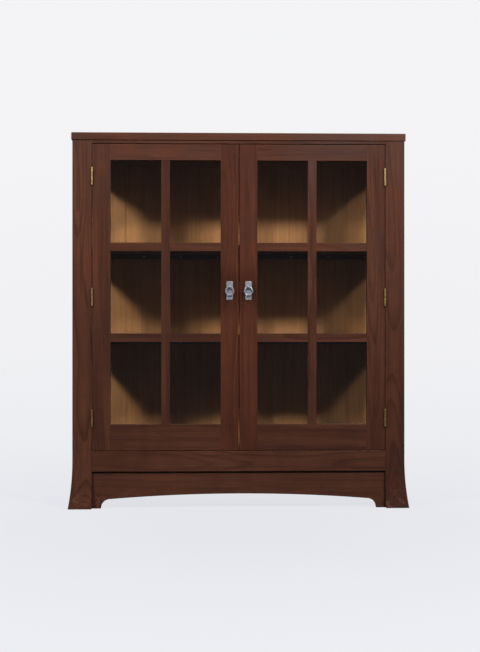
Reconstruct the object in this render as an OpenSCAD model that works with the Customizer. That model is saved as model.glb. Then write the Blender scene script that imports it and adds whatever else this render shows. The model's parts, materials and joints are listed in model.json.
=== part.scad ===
// China cabinet with two glazed doors and glazed sides.
// Millimetres. X runs across the cabinet, Y from front to back, Z up from the floor.
// The origin is on the floor, in the middle of the cabinet's whole width and depth.

/* [Cabinet] */
// Width over the posts
body_w = 1240; // [1120:10:1400]
// Height from the floor to the top
body_h = 1400; // [1300:10:1500]
// Depth over the posts
body_d = 380; // [340:5:440]

/* [Top board] */
// Thickness of the top board
top_t = 28; // [22:1:34]
// How far the top board passes the posts at the front and the sides
top_lip = 4; // [2:1:12]

/* [Posts and feet] */
// Width of a front post
post_w = 72; // [60:1:84]
// Depth of a front post
post_d = 42; // [36:1:50]
// Width and depth of a back post
back_post = 42; // [38:1:50]
// How far a foot flares out at the floor
foot_flare = 16; // [6:1:24]
// Height at which the flare starts
flare_h = 180; // [120:5:200]

/* [Front rails] */
// Height of the shelf floor, and of the sill under the doors
sill_z = 214; // [190:2:250]
// Height of the front bottom rail
bottom_rail_h = 76; // [60:1:90]
// Thickness of the front bottom rail
bottom_rail_t = 22; // [18:1:26]
// Thickness of the flat rail over the doors
top_rail_t = 12; // [10:1:18]
// Depth of the flat rail over the doors
top_rail_d = 60; // [50:1:80]

/* [Toe board] */
// Thickness of the toe board
toe_t = 20; // [16:1:24]
// How far the toe board stands back from the front
toe_set = 8; // [2:1:12]
// Width of the toe board's foot beside a post, at the floor
toe_foot_w = 33; // [20:1:50]
// Radius of the cove from the foot to the arch
toe_cove_r = 35; // [25:1:45]
// Rise of the arch over the cove
toe_rise = 19; // [8:1:30]

/* [Sides] */
// Thickness of the side rails
side_rail_t = 22; // [18:1:26]
// How far the side rails stand back from the posts' outer face
side_set = 3; // [1:0.5:5]
// Height of the side bottom rail's lower edge at the posts
side_low_z = 60; // [45:1:80]
// Rise of the arch in the side bottom rail
side_rise = 14; // [6:1:24]
// Thickness of the side frame in front of the glass
side_lip_t = 10; // [8:1:12]

/* [Back] */
// Thickness of the back boards
back_t = 10; // [8:1:12]
// How far the back boards stand in from the posts' back face
back_set = 4; // [2:1:8]
// How far the back boards lap onto the posts
back_lap = 10; // [6:1:14]
// Number of back boards
back_count = 8; // [6:1:10]
// Width of the lap between two back boards
board_lap = 6; // [4:1:9]
// Gap that shows between two back boards
board_gap = 1; // [0.5:0.5:2]
// Height of the back boards' lower edge
back_low_z = 70; // [60:1:90]
// Thickness of the back rails
back_rail_t = 20; // [16:1:24]
// Height of the back top rail
back_top_h = 50; // [40:1:60]
// Height of the back bottom rail
back_bottom_h = 58; // [46:1:70]

/* [Inside] */
// Thickness of the shelves and of the bottom board
shelf_t = 20; // [16:1:24]
// Distance from the doors' back to the shelves' front edge
shelf_back = 6; // [3:1:14]
// Side of a square cleat, and height of a shelf bearer
cleat = 18; // [14:1:22]
// Length of the stub tenons on the shelf bearers
stub_l = 10; // [6:1:14]
// Shoulder over and under a stub tenon
stub_shoulder = 3; // [2:1:5]
// How far the cleats' screws bite into the back boards
cleat_bite = 7; // [4:0.5:7]

/* [Doors] */
// Thickness of a door
door_t = 24; // [21:1:28]
// Width of the door stiles
stile_w = 67; // [56:1:78]
// Height of the door top rail
door_top_h = 60; // [52:1:76]
// Height of the door bottom rail
door_bottom_h = 97; // [80:1:110]
// Width of the muntins
muntin_w = 32; // [26:1:38]
// Thickness of the door frame in front of the glass
lip_t = 12; // [10:1:13]
// Width of the rebate for the glass
rebate = 8; // [6:1:10]
// Thickness of the glass
glass_t = 3; // [2:0.5:4]
// Gap between a door and its post
side_gap = 2; // [1.6:0.2:3]
// Gap between the two doors
meet_gap = 3; // [2.4:0.2:4]
// Gap over and under a door
end_gap = 2.5; // [1.5:0.5:4]

/* [Joints in the wood] */
// Thickness of a tenon
tenon_t = 8; // [6:1:10]
// Length of the tenons in the front posts
tenon_l = 26; // [18:1:30]
// Length of the tenons in the door stiles
door_tenon_l = 42; // [30:1:48]
// Shoulder over and under a tenon
shoulder = 12; // [11:1:16]
// Wood left between two mortises that meet in a back post
mortise_wall = 3; // [2:0.5:5]
// How far the screws of the top bite into it
top_bite = 14; // [8:1:18]
// Place of the outer screws of the top, as a distance from the middle
top_screw_out = 330; // [280:10:400]
// Place of the inner screws of the top, as a distance from the middle
top_screw_in = 110; // [80:10:160]

/* [Hinges] */
// Number of hinges on a door
hinge_count = 3; // [2:1:4]
// Height of a hinge
hinge_h = 64; // [50:1:76]
// Distance from a door's end to the middle of its outer hinge
hinge_inset = 120; // [80:5:160]
// Radius of the hinge barrel
barrel_r = 4; // [3.5:0.1:5]
// Radius of the hinge pin
pin_r = 1.6; // [1.4:0.1:2]
// Thickness of a hinge leaf
leaf_t = 1.8; // [1.5:0.1:2]
// Depth of a hinge leaf in the wood
leaf_d = 20; // [18:0.5:21]
// Radius of a wood screw's shank
screw_r = 1.6; // [1.4:0.1:1.8]
// Radius of a wood screw's head
screw_head_r = 3.2; // [2.8:0.1:3.6]
// Length of a hinge screw
hinge_screw_l = 18; // [14:1:22]
// Distance from a hinge's middle to its outer screws
hinge_screw_dz = 20; // [16:1:20]
// Height of the button at each end of a hinge pin
button_h = 1.4; // [1:0.1:2]
// Radius of the button at each end of a hinge pin
button_r = 2.8; // [2.2:0.1:3.4]

/* [Pulls] */
// Height of the middle of the pull plates
pull_z = 812; // [760:2:860]
// Width of a pull plate
plate_w = 24; // [20:1:30]
// Height of a pull plate
plate_h = 70; // [64:1:80]
// Thickness of a pull plate
plate_t = 2; // [1.6:0.2:3]
// Distance from a plate's end to its screw
plate_screw_in = 6; // [5:0.5:8]
// Length of a plate screw
plate_screw_l = 14; // [10:1:18]
// Distance from the plate's top edge to the ring's eye
eye_drop = 22; // [18:1:26]
// Distance from the plate's face to the ring's axis
eye_out = 7; // [6.5:0.5:9]
// Width of the eye
eye_w = 6; // [5:0.5:7]
// Wall of the eye round its hole
eye_wall = 2; // [1.6:0.2:2.6]
// Radius of the ring, to the middle of its wire
ring_r = 15; // [13:0.5:17]
// Radius of the ring's wire
wire_r = 2.2; // [1.8:0.1:2.6]

/* [Catches] */
// Width of a magnetic catch
catch_w = 44; // [36:1:52]
// Height of a magnetic catch
catch_h = 13; // [11:1:15]
// Depth of a magnetic catch
catch_d = 20; // [16:1:24]
// Distance from the middle of the cabinet to a magnetic catch
catch_in = 22; // [12:1:30]
// Height of the steel plate that the catch holds
strike_h = 8; // [7:0.5:9]
// Thickness of the steel plate that the catch holds
strike_t = 1.5; // [1:0.1:2]

/* [Hidden] */

// Small clearances
touch = 0.3;         // between a door and what it closes against
play = 0.5;          // round a board that is dropped in
knuckle_gap = 0.2;   // between two knuckles of a hinge
pin_play = 0.05;     // round a hinge pin, in the door's knuckle
ring_play = 0.15;    // round the ring's wire, in its eye
lap_play = 0.3;      // between the layers of two lapped back boards
bead_gap = 0.2;      // between the ends of two glazing beads
glass_play = 1;      // round the edge of a pane, in its rebate
over = 1;            // how far a cut runs past the face it opens

// Smoothness of small round parts, and of the long arcs
$fn = 48;
arc_fn = 720;
cove_steps = 10;
arch_steps = 24;

// Colours
outer_wood = "#4f2e22";
inner_wood = "#8a5a35";
steel_grey = "#8b8f96";
brass_tone = "#9a7b45";
glass_tint = [0.75, 0.85, 0.85, 0.3];

// The front plane, the back plane and the planes between them
hw = body_w / 2;
barrel_y_off = barrel_r + touch;
eye_r = wire_r + (ring_r - sqrt(ring_r * ring_r - eye_w * eye_w / 4)) + ring_play;
eye_outer_r = eye_r + eye_wall;
front_reach = max(foot_flare, top_lip, barrel_y_off + barrel_r, plate_t + eye_out + eye_outer_r);
front = (front_reach - body_d) / 2;
back = front + body_d;
door_back = front + door_t;
shelf_front = door_back + shelf_back;
post_back = front + post_d;
back_post_front = back - back_post;
back_out = back - back_set;
back_in = back_out - back_t;
back_rail_front = back_in - back_rail_t;

// Heights
top_z = body_h - top_t;
lintel_z = top_z - top_rail_t;
toe_top_z = sill_z - bottom_rail_h;
floor_low_z = sill_z - shelf_t;

// Places across the cabinet, given for the left half and mirrored for the right
post_in = hw - post_w;
back_post_in = hw - back_post;
side_out = hw - side_set;
side_in = side_out - side_rail_t;
side_mid = (side_out + side_in) / 2;
side_lip_in = side_out - side_lip_t;
back_tenon_end = side_mid - tenon_t / 2 - mortise_wall;

// The doors
door_z0 = sill_z + end_gap;
door_z1 = lintel_z - end_gap;
door_x0 = side_gap - post_in;
door_x1 = -meet_gap / 2;
sight_x = [door_x0 + stile_w, door_x1 - stile_w];
sight_z = [door_z0 + door_bottom_h, door_z1 - door_top_h];
muntin_x = (sight_x[0] + sight_x[1]) / 2;
pane_h = (sight_z[1] - sight_z[0] - 2 * muntin_w) / 3;
muntin_zs = [for (i = [1, 2]) sight_z[0] + i * pane_h + (i - 0.5) * muntin_w];
web_w = muntin_w - 2 * rebate;
lip_back = front + lip_t;
glass_front = lip_back + touch / 2;
glass_back = glass_front + glass_t;

// Places of the panes: [low, high] across and up, to the edge that shows
pane_xs = [
    [sight_x[0], muntin_x - muntin_w / 2],
    [muntin_x + muntin_w / 2, sight_x[1]],
];
pane_zs = [
    [sight_z[0], muntin_zs[0] - muntin_w / 2],
    [muntin_zs[0] + muntin_w / 2, muntin_zs[1] - muntin_w / 2],
    [muntin_zs[1] + muntin_w / 2, sight_z[1]],
];

// The panes in the sides have the doors' heights and run from post to post
side_pane_y = [post_back, back_post_front];
side_glass_out = side_lip_in - touch / 2;
side_glass_in = side_glass_out - glass_t;

// Hinges, pulls and catches
hinge_x = side_gap / 2 - post_in;
hinge_y = front - barrel_y_off;
hinge_zs = [for (i = [0 : hinge_count - 1])
    door_z0 + hinge_inset + i * (door_z1 - door_z0 - 2 * hinge_inset) / (hinge_count - 1)];
hinge_screw_zs = [-hinge_screw_dz, 0, hinge_screw_dz];
pull_x = door_x1 - stile_w / 2;
eye_z = pull_z + plate_h / 2 - eye_drop;
plate_face = front - plate_t;
eye_y = plate_face - eye_out;
plate_screw_z = plate_h / 2 - plate_screw_in;

// A box from its ranges along X, Y and Z
module bar(x, y, z) {
    translate([x[0], y[0], z[0]]) cube([x[1] - x[0], y[1] - y[0], z[1] - z[0]]);
}

// A range made wider at both ends
function grown(range, by) = [range[0] - by, range[1] + by];

// The same shape on the right-hand side
module on_right() {
    mirror([1, 0, 0]) children();
}

// Both sides at once
module on_both() {
    children();
    mirror([1, 0, 0]) children();
}

// A round rod along X, from x[0] to x[1]
module rod_x(x, y, z, r, fn = $fn) {
    translate([x[0], y, z]) rotate([0, 90, 0]) cylinder(h = x[1] - x[0], r = r, $fn = fn);
}

// A round rod along Y, from y[0] to y[1]
module rod_y(x, y, z, r, fn = $fn) {
    translate([x, y[1], z]) rotate([90, 0, 0]) cylinder(h = y[1] - y[0], r = r, $fn = fn);
}

// Radius of an arc from its half chord and its rise
function arc_r(half, rise) = (half * half + rise * rise) / (2 * rise);

// A wood screw with its head's face at the origin, driven along +Z
module screw(len) {
    cylinder(h = leaf_t, r1 = screw_head_r, r2 = screw_r);
    cylinder(h = len, r = screw_r);
}

// Posts and feet

flare_r = arc_r(flare_h, foot_flare);

// A post's foot with a hollow curve on its outer side, and on its front if it is a front one
module foot(x, y, front_too) {
    reach_y = front_too ? foot_flare : 0;
    difference() {
        bar([x[0] - foot_flare, x[1]], [y[0] - reach_y, y[1]], [0, flare_h]);
        rod_y(x[0] - flare_r, [y[0] - reach_y - over, y[1] + over], flare_h, flare_r, arc_fn);
        if (front_too)
            rod_x([x[0] - foot_flare - over, x[1] + over], y[0] - flare_r, flare_h, flare_r, arc_fn);
    }
}

module post(x, y, front_too) {
    foot(x, y, front_too);
    bar(x, y, [flare_h, top_z]);
}

module front_post() {
    color(outer_wood) difference() {
        post([-hw, -post_in], [front, post_back], true);
        side_tenons(side_top_zs());
        side_tenons(side_bottom_zs());
        side_pocket();
        all_bearer_stubs();
        front_tenon(bottom_rail_y(), [toe_top_z, sill_z]);
        front_tenon(toe_y(), [0, toe_top_z]);
        top_rail_lug();
        for (z = hinge_zs) case_leaf_seat(z);
    }
}

module back_post_left() {
    color(outer_wood) difference() {
        post([-hw, -back_post_in], [back_post_front, back], false);
        side_tenons(side_top_zs());
        side_tenons(side_bottom_zs());
        side_pocket();
        all_bearer_stubs();
        back_tenon(back_top_zs());
        back_tenon(back_bottom_zs());
        bar([-back_post_in - back_lap, -back_post_in + over], [back_in, back + over],
            [back_low_z, top_z + over]);
    }
}

// Side frames: the glass lies in a rebate of the rails and the posts, and strips hold it from inside

function side_top_zs() = [sight_z[1], top_z];
function side_bottom_zs() = [side_low_z, sight_z[0]];

// Tenons on both ends of a side rail, run from post to post
module side_tenons(zs) {
    bar([-side_mid - tenon_t / 2, -side_mid + tenon_t / 2],
        [post_back - tenon_l, back_post_front + tenon_l],
        [zs[0] + shoulder, zs[1] - shoulder]);
}

module side_rail_bar(zs) {
    bar([-side_out, -side_in], [post_back, back_post_front], zs);
    side_tenons(zs);
}

// The pocket behind the lip of the side rails, open to the inside of the cabinet
module side_pocket() {
    bar([-side_lip_in, -post_in + over], grown(side_pane_y, rebate), grown(sight_z, rebate));
}

module side_top_rail() {
    color(outer_wood) difference() {
        side_rail_bar(side_top_zs());
        side_pocket();
    }
}

module side_bottom_rail() {
    half = (back_post_front - post_back) / 2;
    r = arc_r(half, side_rise);
    color(outer_wood) difference() {
        side_rail_bar(side_bottom_zs());
        side_pocket();
        rod_x([-side_out - over, -side_in + over], post_back + half,
              side_low_z + side_rise - r, r, arc_fn);
    }
}

module side_muntins() {
    color(outer_wood) for (z = muntin_zs) {
        bar([-side_out, -side_lip_in], side_pane_y, [z - muntin_w / 2, z + muntin_w / 2]);
        bar([-side_lip_in, -side_in], grown(side_pane_y, rebate), [z - web_w / 2, z + web_w / 2]);
    }
}

module side_glass() {
    by = rebate - glass_play;
    color(glass_tint) for (z = pane_zs)
        bar([-side_glass_out, -side_glass_in], grown(side_pane_y, by), grown(z, by));
}

// Four strips round the inside of each side pane
module side_beads() {
    x = [-side_glass_in, -side_in];
    gy = grown(side_pane_y, rebate);
    color(outer_wood) for (z = pane_zs) {
        gz = grown(z, rebate);
        bar(x, [gy[0], side_pane_y[0]], gz);
        bar(x, [side_pane_y[1], gy[1]], gz);
        bar(x, grown(side_pane_y, -bead_gap), [gz[0], z[0]]);
        bar(x, grown(side_pane_y, -bead_gap), [z[1], gz[1]]);
    }
}

// Front rails and toe board

function bottom_rail_y() = [front, front + bottom_rail_t];
function toe_y() = [front + toe_set, front + toe_set + toe_t];

// The left-hand tenon of a front rail, begun inside the rail so that the two are one piece of wood
module front_tenon(y, z) {
    mid = (y[0] + y[1]) / 2;
    bar([-post_in - tenon_l, -post_in + over], [mid - tenon_t / 2, mid + tenon_t / 2],
        [z[0] + shoulder, z[1] - shoulder]);
}

module front_bottom_rail() {
    color(outer_wood) {
        bar([-post_in, post_in], bottom_rail_y(), [toe_top_z, sill_z]);
        on_both() front_tenon(bottom_rail_y(), [toe_top_z, sill_z]);
    }
}

// Points along an arc about [cx, cz], from angle a0 to angle a1, without its two ends if skip is 1
function arc_points(cx, cz, r, a0, a1, n, skip = 0) =
    [for (i = [skip : n - skip]) let (a = a0 + (a1 - a0) * i / n) [cx + r * cos(a), cz + r * sin(a)]];

// The toe board's outline: a foot and a cove at each end, and a low arch between them
function toe_outline() =
    let (half = post_in - toe_foot_w - toe_cove_r, r = arc_r(half, toe_rise), spread = asin(half / r))
    concat(
        [[-post_in, 0]],
        arc_points(-half, 0, toe_cove_r, 180, 90, cove_steps),
        arc_points(0, toe_cove_r + toe_rise - r, r, 90 + spread, 90 - spread, arch_steps, 1),
        arc_points(half, 0, toe_cove_r, 90, 0, cove_steps),
        [[post_in, 0], [post_in, toe_top_z], [-post_in, toe_top_z]]
    );

module toe_board() {
    color(outer_wood) {
        translate([0, toe_y()[1], 0]) rotate([90, 0, 0]) linear_extrude(toe_t) polygon(toe_outline());
        on_both() front_tenon(toe_y(), [0, toe_top_z]);
    }
}

// The end of the flat top rail, let into the post's top
module top_rail_lug() {
    bar([-post_in - tenon_l, -post_in + over], [front + tenon_t, post_back - tenon_t], [lintel_z, top_z]);
}

module front_top_rail() {
    color(outer_wood) difference() {
        union() {
            bar([-post_in, post_in], [front, front + top_rail_d], [lintel_z, top_z]);
            on_both() top_rail_lug();
        }
        front_top_screws();
    }
}

// Top board

module top_board() {
    color(outer_wood) difference() {
        bar([-hw - top_lip, hw + top_lip], [front - top_lip, back], [top_z, body_h]);
        front_top_screws();
        back_top_screws();
    }
}

top_screw_xs = [-top_screw_out, -top_screw_in, top_screw_in, top_screw_out];

module front_top_screws() {
    y = (door_back + front + top_rail_d) / 2;
    for (x = top_screw_xs) translate([x, y, lintel_z]) screw(top_rail_t + top_bite);
}

module back_top_screws() {
    y = back_rail_front + back_rail_t / 2;
    for (x = top_screw_xs) translate([x, y, top_z - back_top_h]) screw(back_top_h + top_bite);
}

module top_screws() {
    color(steel_grey) {
        front_top_screws();
        back_top_screws();
    }
}

// Back

function back_top_zs() = [top_z - back_top_h, top_z];
function back_bottom_zs() = [floor_low_z - back_bottom_h, floor_low_z];

// The left-hand tenon of a back rail
module back_tenon(zs) {
    mid = back_rail_front + back_rail_t / 2;
    bar([-back_tenon_end, -back_post_in + over], [mid - tenon_t / 2, mid + tenon_t / 2],
        [zs[0] + shoulder, zs[1] - shoulder]);
}

module back_rail(zs) {
    bar([-back_post_in, back_post_in], [back_rail_front, back_in], zs);
    on_both() back_tenon(zs);
}

module back_top_rail() {
    color(inner_wood) difference() {
        back_rail(back_top_zs());
        back_top_screws();
    }
}

module back_bottom_rail() {
    color(inner_wood) back_rail(back_bottom_zs());
}

// Upright boards, each with half its thickness lapped behind the next
board_pitch = 2 * (back_post_in + back_lap - play) / back_count;

module back_boards() {
    half_y = (back_in + back_out) / 2;
    z = [back_low_z, top_z];
    color(inner_wood) difference() {
        for (i = [0 : back_count - 1]) {
            x0 = (i - back_count / 2) * board_pitch + (i == 0 ? 0 : board_gap);
            x1 = (i + 1 - back_count / 2) * board_pitch;
            bar([x0, x1], [back_in, half_y], z);
            bar([x0 + (i == 0 ? 0 : board_lap), x1], [half_y, back_out], z);
            if (i < back_count - 1)
                bar([x1, x1 + board_lap - board_gap], [half_y + lap_play, back_out], z);
        }
        all_cleat_screws();
    }
}

// Bottom board, shelves, and what carries them

// What a board must clear at the left-hand posts, which are thinner by cut beside the glass
module post_notches(z, cut = 0) {
    bar([-hw, -post_in + play], [front, post_back - cut + play], z);
    bar([-hw, -back_post_in + play], [back_post_front + cut - play, back], z);
}

module bottom_board() {
    z = [floor_low_z, sill_z];
    color(outer_wood) difference() {
        bar([-side_in, side_in], [front + bottom_rail_t, back_in], z);
        on_both() post_notches([z[0] - over, z[1] + over]);
    }
}

module bottom_cleats() {
    z = [floor_low_z - cleat, floor_low_z];
    color(inner_wood) {
        bar([-post_in, post_in], [front + bottom_rail_t, front + bottom_rail_t + cleat], z);
        on_both() bar([-side_in, -side_in + cleat], [post_back, back_post_front], z);
    }
}

// A shelf, its middle at height z
module shelf(z) {
    color(outer_wood) difference() {
        bar([-side_in + play, side_in - play], [shelf_front, back_in - play],
            [z - shelf_t / 2, z + shelf_t / 2]);
        on_both() post_notches([z - shelf_t, z + shelf_t], rebate);
    }
}

function bearer_zs(z) = [z - shelf_t / 2 - cleat, z - shelf_t / 2];

// The stub tenons of a left-hand bearer, run from post to post
module bearer_stubs(z) {
    zs = bearer_zs(z);
    mid = (side_in + back_post_in) / 2;
    bar([-mid - tenon_t / 2, -mid + tenon_t / 2], grown(side_pane_y, rebate + stub_l),
        [zs[0] + stub_shoulder, zs[1] - stub_shoulder]);
}

module all_bearer_stubs() {
    for (z = muntin_zs) bearer_stubs(z);
}

// Under each shelf, a bearer between the posts at either end, and a cleat along the back boards
module shelf_bearers() {
    color(outer_wood) difference() {
        for (z = muntin_zs) {
            on_both() {
                bar([-side_in + play, -back_post_in - play], grown(side_pane_y, rebate), bearer_zs(z));
                bearer_stubs(z);
            }
            bar([-back_post_in + play, back_post_in - play], [back_in - cleat, back_in], bearer_zs(z));
        }
        all_cleat_screws();
    }
}

// One screw for the middle of each back board
module all_cleat_screws() {
    for (z = muntin_zs, i = [0 : back_count - 1])
        translate([(i + 0.5 - back_count / 2) * board_pitch, back_in - cleat, z - (shelf_t + cleat) / 2])
            rotate([-90, 0, 0]) screw(cleat + cleat_bite);
}

module cleat_screws() {
    color(steel_grey) all_cleat_screws();
}

// Doors: the left one is drawn, the right one is its mirror image

// The pocket behind the glazing lip, which holds all the glass of a door
module glass_pocket() {
    bar([sight_x[0] - rebate, sight_x[1] + rebate], [lip_back, door_back + over],
        [sight_z[0] - rebate, sight_z[1] + rebate]);
}

module door_tenons(zs) {
    mid = front + door_t / 2;
    bar([sight_x[0] - door_tenon_l, sight_x[1] + door_tenon_l], [mid - tenon_t / 2, mid + tenon_t / 2],
        [zs[0] + shoulder, zs[1] - shoulder]);
}

function door_top_zs() = [sight_z[1], door_z1];
function door_bottom_zs() = [door_z0, sight_z[0]];

module hinge_stile() {
    color(outer_wood) difference() {
        bar([door_x0, sight_x[0]], [front, door_back], [door_z0, door_z1]);
        glass_pocket();
        door_tenons(door_top_zs());
        door_tenons(door_bottom_zs());
        for (z = hinge_zs) door_leaf_seat(z);
    }
}

module meeting_stile() {
    color(outer_wood) difference() {
        bar([sight_x[1], door_x1], [front, door_back], [door_z0, door_z1]);
        glass_pocket();
        door_tenons(door_top_zs());
        door_tenons(door_bottom_zs());
        plate_screws();
        strike_plate();
    }
}

module door_rail(zs) {
    color(outer_wood) difference() {
        union() {
            bar(sight_x, [front, door_back], zs);
            door_tenons(zs);
        }
        glass_pocket();
    }
}

// The upright muntin keeps its lip whole, and the level ones keep their webs whole
module upright_muntin() {
    lip = [muntin_x - muntin_w / 2, muntin_x + muntin_w / 2];
    color(outer_wood) {
        bar(lip, [front, lip_back], sight_z);
        difference() {
            bar([muntin_x - web_w / 2, muntin_x + web_w / 2], [lip_back, door_back],
                [sight_z[0] - rebate, sight_z[1] + rebate]);
            for (z = muntin_zs)
                bar([muntin_x - web_w, muntin_x + web_w], [lip_back, door_back + over],
                    [z - web_w / 2, z + web_w / 2]);
        }
    }
}

module level_muntin(z) {
    color(outer_wood) {
        for (x = pane_xs)
            bar(x, [front, lip_back], [z - muntin_w / 2, z + muntin_w / 2]);
        bar([sight_x[0] - rebate, sight_x[1] + rebate], [lip_back, door_back],
            [z - web_w / 2, z + web_w / 2]);
    }
}

module door_glass() {
    by = rebate - glass_play;
    color(glass_tint) for (x = pane_xs, z = pane_zs)
        bar(grown(x, by), [glass_front, glass_back], grown(z, by));
}

// Four strips behind each pane, nailed to the web of the frame
module door_beads() {
    y = [glass_back, door_back];
    color(outer_wood) for (x = pane_xs, z = pane_zs) {
        gx = grown(x, rebate);
        gz = grown(z, rebate);
        bar([gx[0], x[0]], y, gz);
        bar([x[1], gx[1]], y, gz);
        bar(grown(x, -bead_gap), y, [gz[0], z[0]]);
        bar(grown(x, -bead_gap), y, [z[1], gz[1]]);
    }
}

// Butt hinges: a knuckle at each end on the case leaf, the middle one on the door leaf

knuckle_h = (hinge_h - 2 * knuckle_gap) / 3;

function knuckle_zs(z, i) = let (z0 = z - hinge_h / 2 + i * (knuckle_h + knuckle_gap)) [z0, z0 + knuckle_h];

module knuckle(z, i) {
    zs = knuckle_zs(z, i);
    translate([hinge_x, hinge_y, zs[0]]) cylinder(h = knuckle_h, r = barrel_r);
}

// Screws of a leaf, driven to the left as on the case
module leaf_screws(z) {
    for (dz = hinge_screw_zs)
        translate([-post_in, front + leaf_d / 2, z + dz]) rotate([0, -90, 0]) screw(hinge_screw_l);
}

// The same screws in the door's edge, driven to the right
module door_leaf_screws(z) {
    for (dz = hinge_screw_zs)
        translate([door_x0, front + leaf_d / 2, z + dz]) rotate([0, 90, 0]) screw(hinge_screw_l);
}

function leaf_zs(z) = [z - hinge_h / 2, z + hinge_h / 2];
function case_leaf_xs() = [-post_in - leaf_t, -post_in];
function door_leaf_xs() = [door_x0, door_x0 + leaf_t];

// The recess in the post, with its screw holes
module case_leaf_seat(z) {
    bar(case_leaf_xs(), [front, front + leaf_d], leaf_zs(z));
    leaf_screws(z);
}

module door_leaf_seat(z) {
    bar(door_leaf_xs(), [front, front + leaf_d], leaf_zs(z));
    door_leaf_screws(z);
}

module case_leaf(z) {
    difference() {
        union() {
            bar(case_leaf_xs(), [front, front + leaf_d], leaf_zs(z));
            for (i = [0, 2]) {
                bar(case_leaf_xs(), [hinge_y, front], knuckle_zs(z, i));
                knuckle(z, i);
            }
        }
        leaf_screws(z);
        translate([hinge_x, hinge_y, z - hinge_h]) cylinder(h = 2 * hinge_h, r = pin_r);
    }
}

module door_leaf(z) {
    difference() {
        union() {
            bar(door_leaf_xs(), [front, front + leaf_d], leaf_zs(z));
            bar(door_leaf_xs(), [hinge_y, front], knuckle_zs(z, 1));
            knuckle(z, 1);
        }
        door_leaf_screws(z);
        translate([hinge_x, hinge_y, z - hinge_h]) cylinder(h = 2 * hinge_h, r = pin_r + pin_play);
    }
}

module case_hinge_leaves() {
    color(brass_tone) on_both() for (z = hinge_zs) case_leaf(z);
}

module door_hinge_leaves() {
    color(brass_tone) for (z = hinge_zs) door_leaf(z);
}

module case_hinge_screws() {
    color(brass_tone) on_both() for (z = hinge_zs) leaf_screws(z);
}

// A pin with a button at each end
module hinge_pin(z) {
    translate([hinge_x, hinge_y, z - hinge_h / 2]) {
        cylinder(h = hinge_h, r = pin_r);
        translate([0, 0, hinge_h]) cylinder(h = button_h, r = button_r);
        translate([0, 0, -button_h]) cylinder(h = button_h, r = button_r);
    }
}

module hinge_pins() {
    color(brass_tone) on_both() for (z = hinge_zs) hinge_pin(z);
}

// Ring pulls

module plate_screws() {
    for (dz = [-plate_screw_z, plate_screw_z])
        translate([pull_x, plate_face, pull_z + dz]) rotate([-90, 0, 0]) screw(plate_screw_l);
}

module pull_plate() {
    color(steel_grey) difference() {
        union() {
            bar([pull_x - plate_w / 2, pull_x + plate_w / 2], [plate_face, front],
                [pull_z - plate_h / 2, pull_z + plate_h / 2]);
            bar([pull_x - eye_w / 2, pull_x + eye_w / 2], [eye_y, plate_face],
                [eye_z - eye_outer_r, eye_z + eye_outer_r]);
            rod_x([pull_x - eye_w / 2, pull_x + eye_w / 2], eye_y, eye_z, eye_outer_r);
        }
        rod_x([pull_x - eye_w, pull_x + eye_w], eye_y, eye_z, eye_r);
        plate_screws();
    }
}

module pull_ring() {
    color(steel_grey) translate([pull_x, eye_y, eye_z - ring_r]) rotate([90, 0, 0])
        rotate_extrude() translate([ring_r, 0]) circle(r = wire_r);
}

module door_screws() {
    color(brass_tone) {
        for (z = hinge_zs) door_leaf_screws(z);
        plate_screws();
    }
}

// Magnetic catches under the flat top rail, and the plates that they hold

strike_x = [-catch_in - catch_w, -catch_in];
strike_zs = [lintel_z - catch_h, lintel_z - catch_h + strike_h];

module strike_plate() {
    bar(strike_x, [door_back - strike_t, door_back], strike_zs);
}

module door_strike() {
    color(steel_grey) strike_plate();
}

module magnetic_catches() {
    y0 = door_back + touch;
    color(steel_grey) on_both()
        bar(strike_x, [y0, y0 + catch_d], [lintel_z - catch_h, lintel_z]);
}

top_board();
front_post();  // left_front_post
on_right() front_post();  // right_front_post
back_post_left();  // left_back_post
on_right() back_post_left();  // right_back_post
side_top_rail();  // left_side_top_rail
on_right() side_top_rail();  // right_side_top_rail
side_bottom_rail();  // left_side_bottom_rail
on_right() side_bottom_rail();  // right_side_bottom_rail
side_muntins();  // left_side_muntins
on_right() side_muntins();  // right_side_muntins
side_glass();  // left_side_glass
on_right() side_glass();  // right_side_glass
side_beads();  // left_side_beads
on_right() side_beads();  // right_side_beads
front_top_rail();
front_bottom_rail();
toe_board();
back_top_rail();
back_bottom_rail();
back_boards();
bottom_board();
bottom_cleats();
shelf(muntin_zs[1]);  // upper_shelf
shelf(muntin_zs[0]);  // lower_shelf
shelf_bearers();
cleat_screws();
top_screws();
case_hinge_leaves();
case_hinge_screws();
hinge_pins();
magnetic_catches();
hinge_stile();  // left_door_hinge_stile
meeting_stile();  // left_door_meeting_stile
door_rail(door_top_zs());  // left_door_top_rail
door_rail(door_bottom_zs());  // left_door_bottom_rail
upright_muntin();  // left_door_upright_muntin
level_muntin(muntin_zs[1]);  // left_door_upper_muntin
level_muntin(muntin_zs[0]);  // left_door_lower_muntin
door_glass();  // left_door_glass
door_beads();  // left_door_beads
door_hinge_leaves();  // left_door_hinge_leaves
door_screws();  // left_door_screws
door_strike();  // left_door_strike
pull_plate();  // left_pull_plate
pull_ring();  // left_pull_ring
on_right() hinge_stile();  // right_door_hinge_stile
on_right() meeting_stile();  // right_door_meeting_stile
on_right() door_rail(door_top_zs());  // right_door_top_rail
on_right() door_rail(door_bottom_zs());  // right_door_bottom_rail
on_right() upright_muntin();  // right_door_upright_muntin
on_right() level_muntin(muntin_zs[1]);  // right_door_upper_muntin
on_right() level_muntin(muntin_zs[0]);  // right_door_lower_muntin
on_right() door_glass();  // right_door_glass
on_right() door_beads();  // right_door_beads
on_right() door_hinge_leaves();  // right_door_hinge_leaves
on_right() door_screws();  // right_door_screws
on_right() door_strike();  // right_door_strike
on_right() pull_plate();  // right_pull_plate
on_right() pull_ring();  // right_pull_ring
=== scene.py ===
"""Dresses the china cabinet: boards, glass, hinges, screws, pulls and catches, and its stage."""

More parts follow.
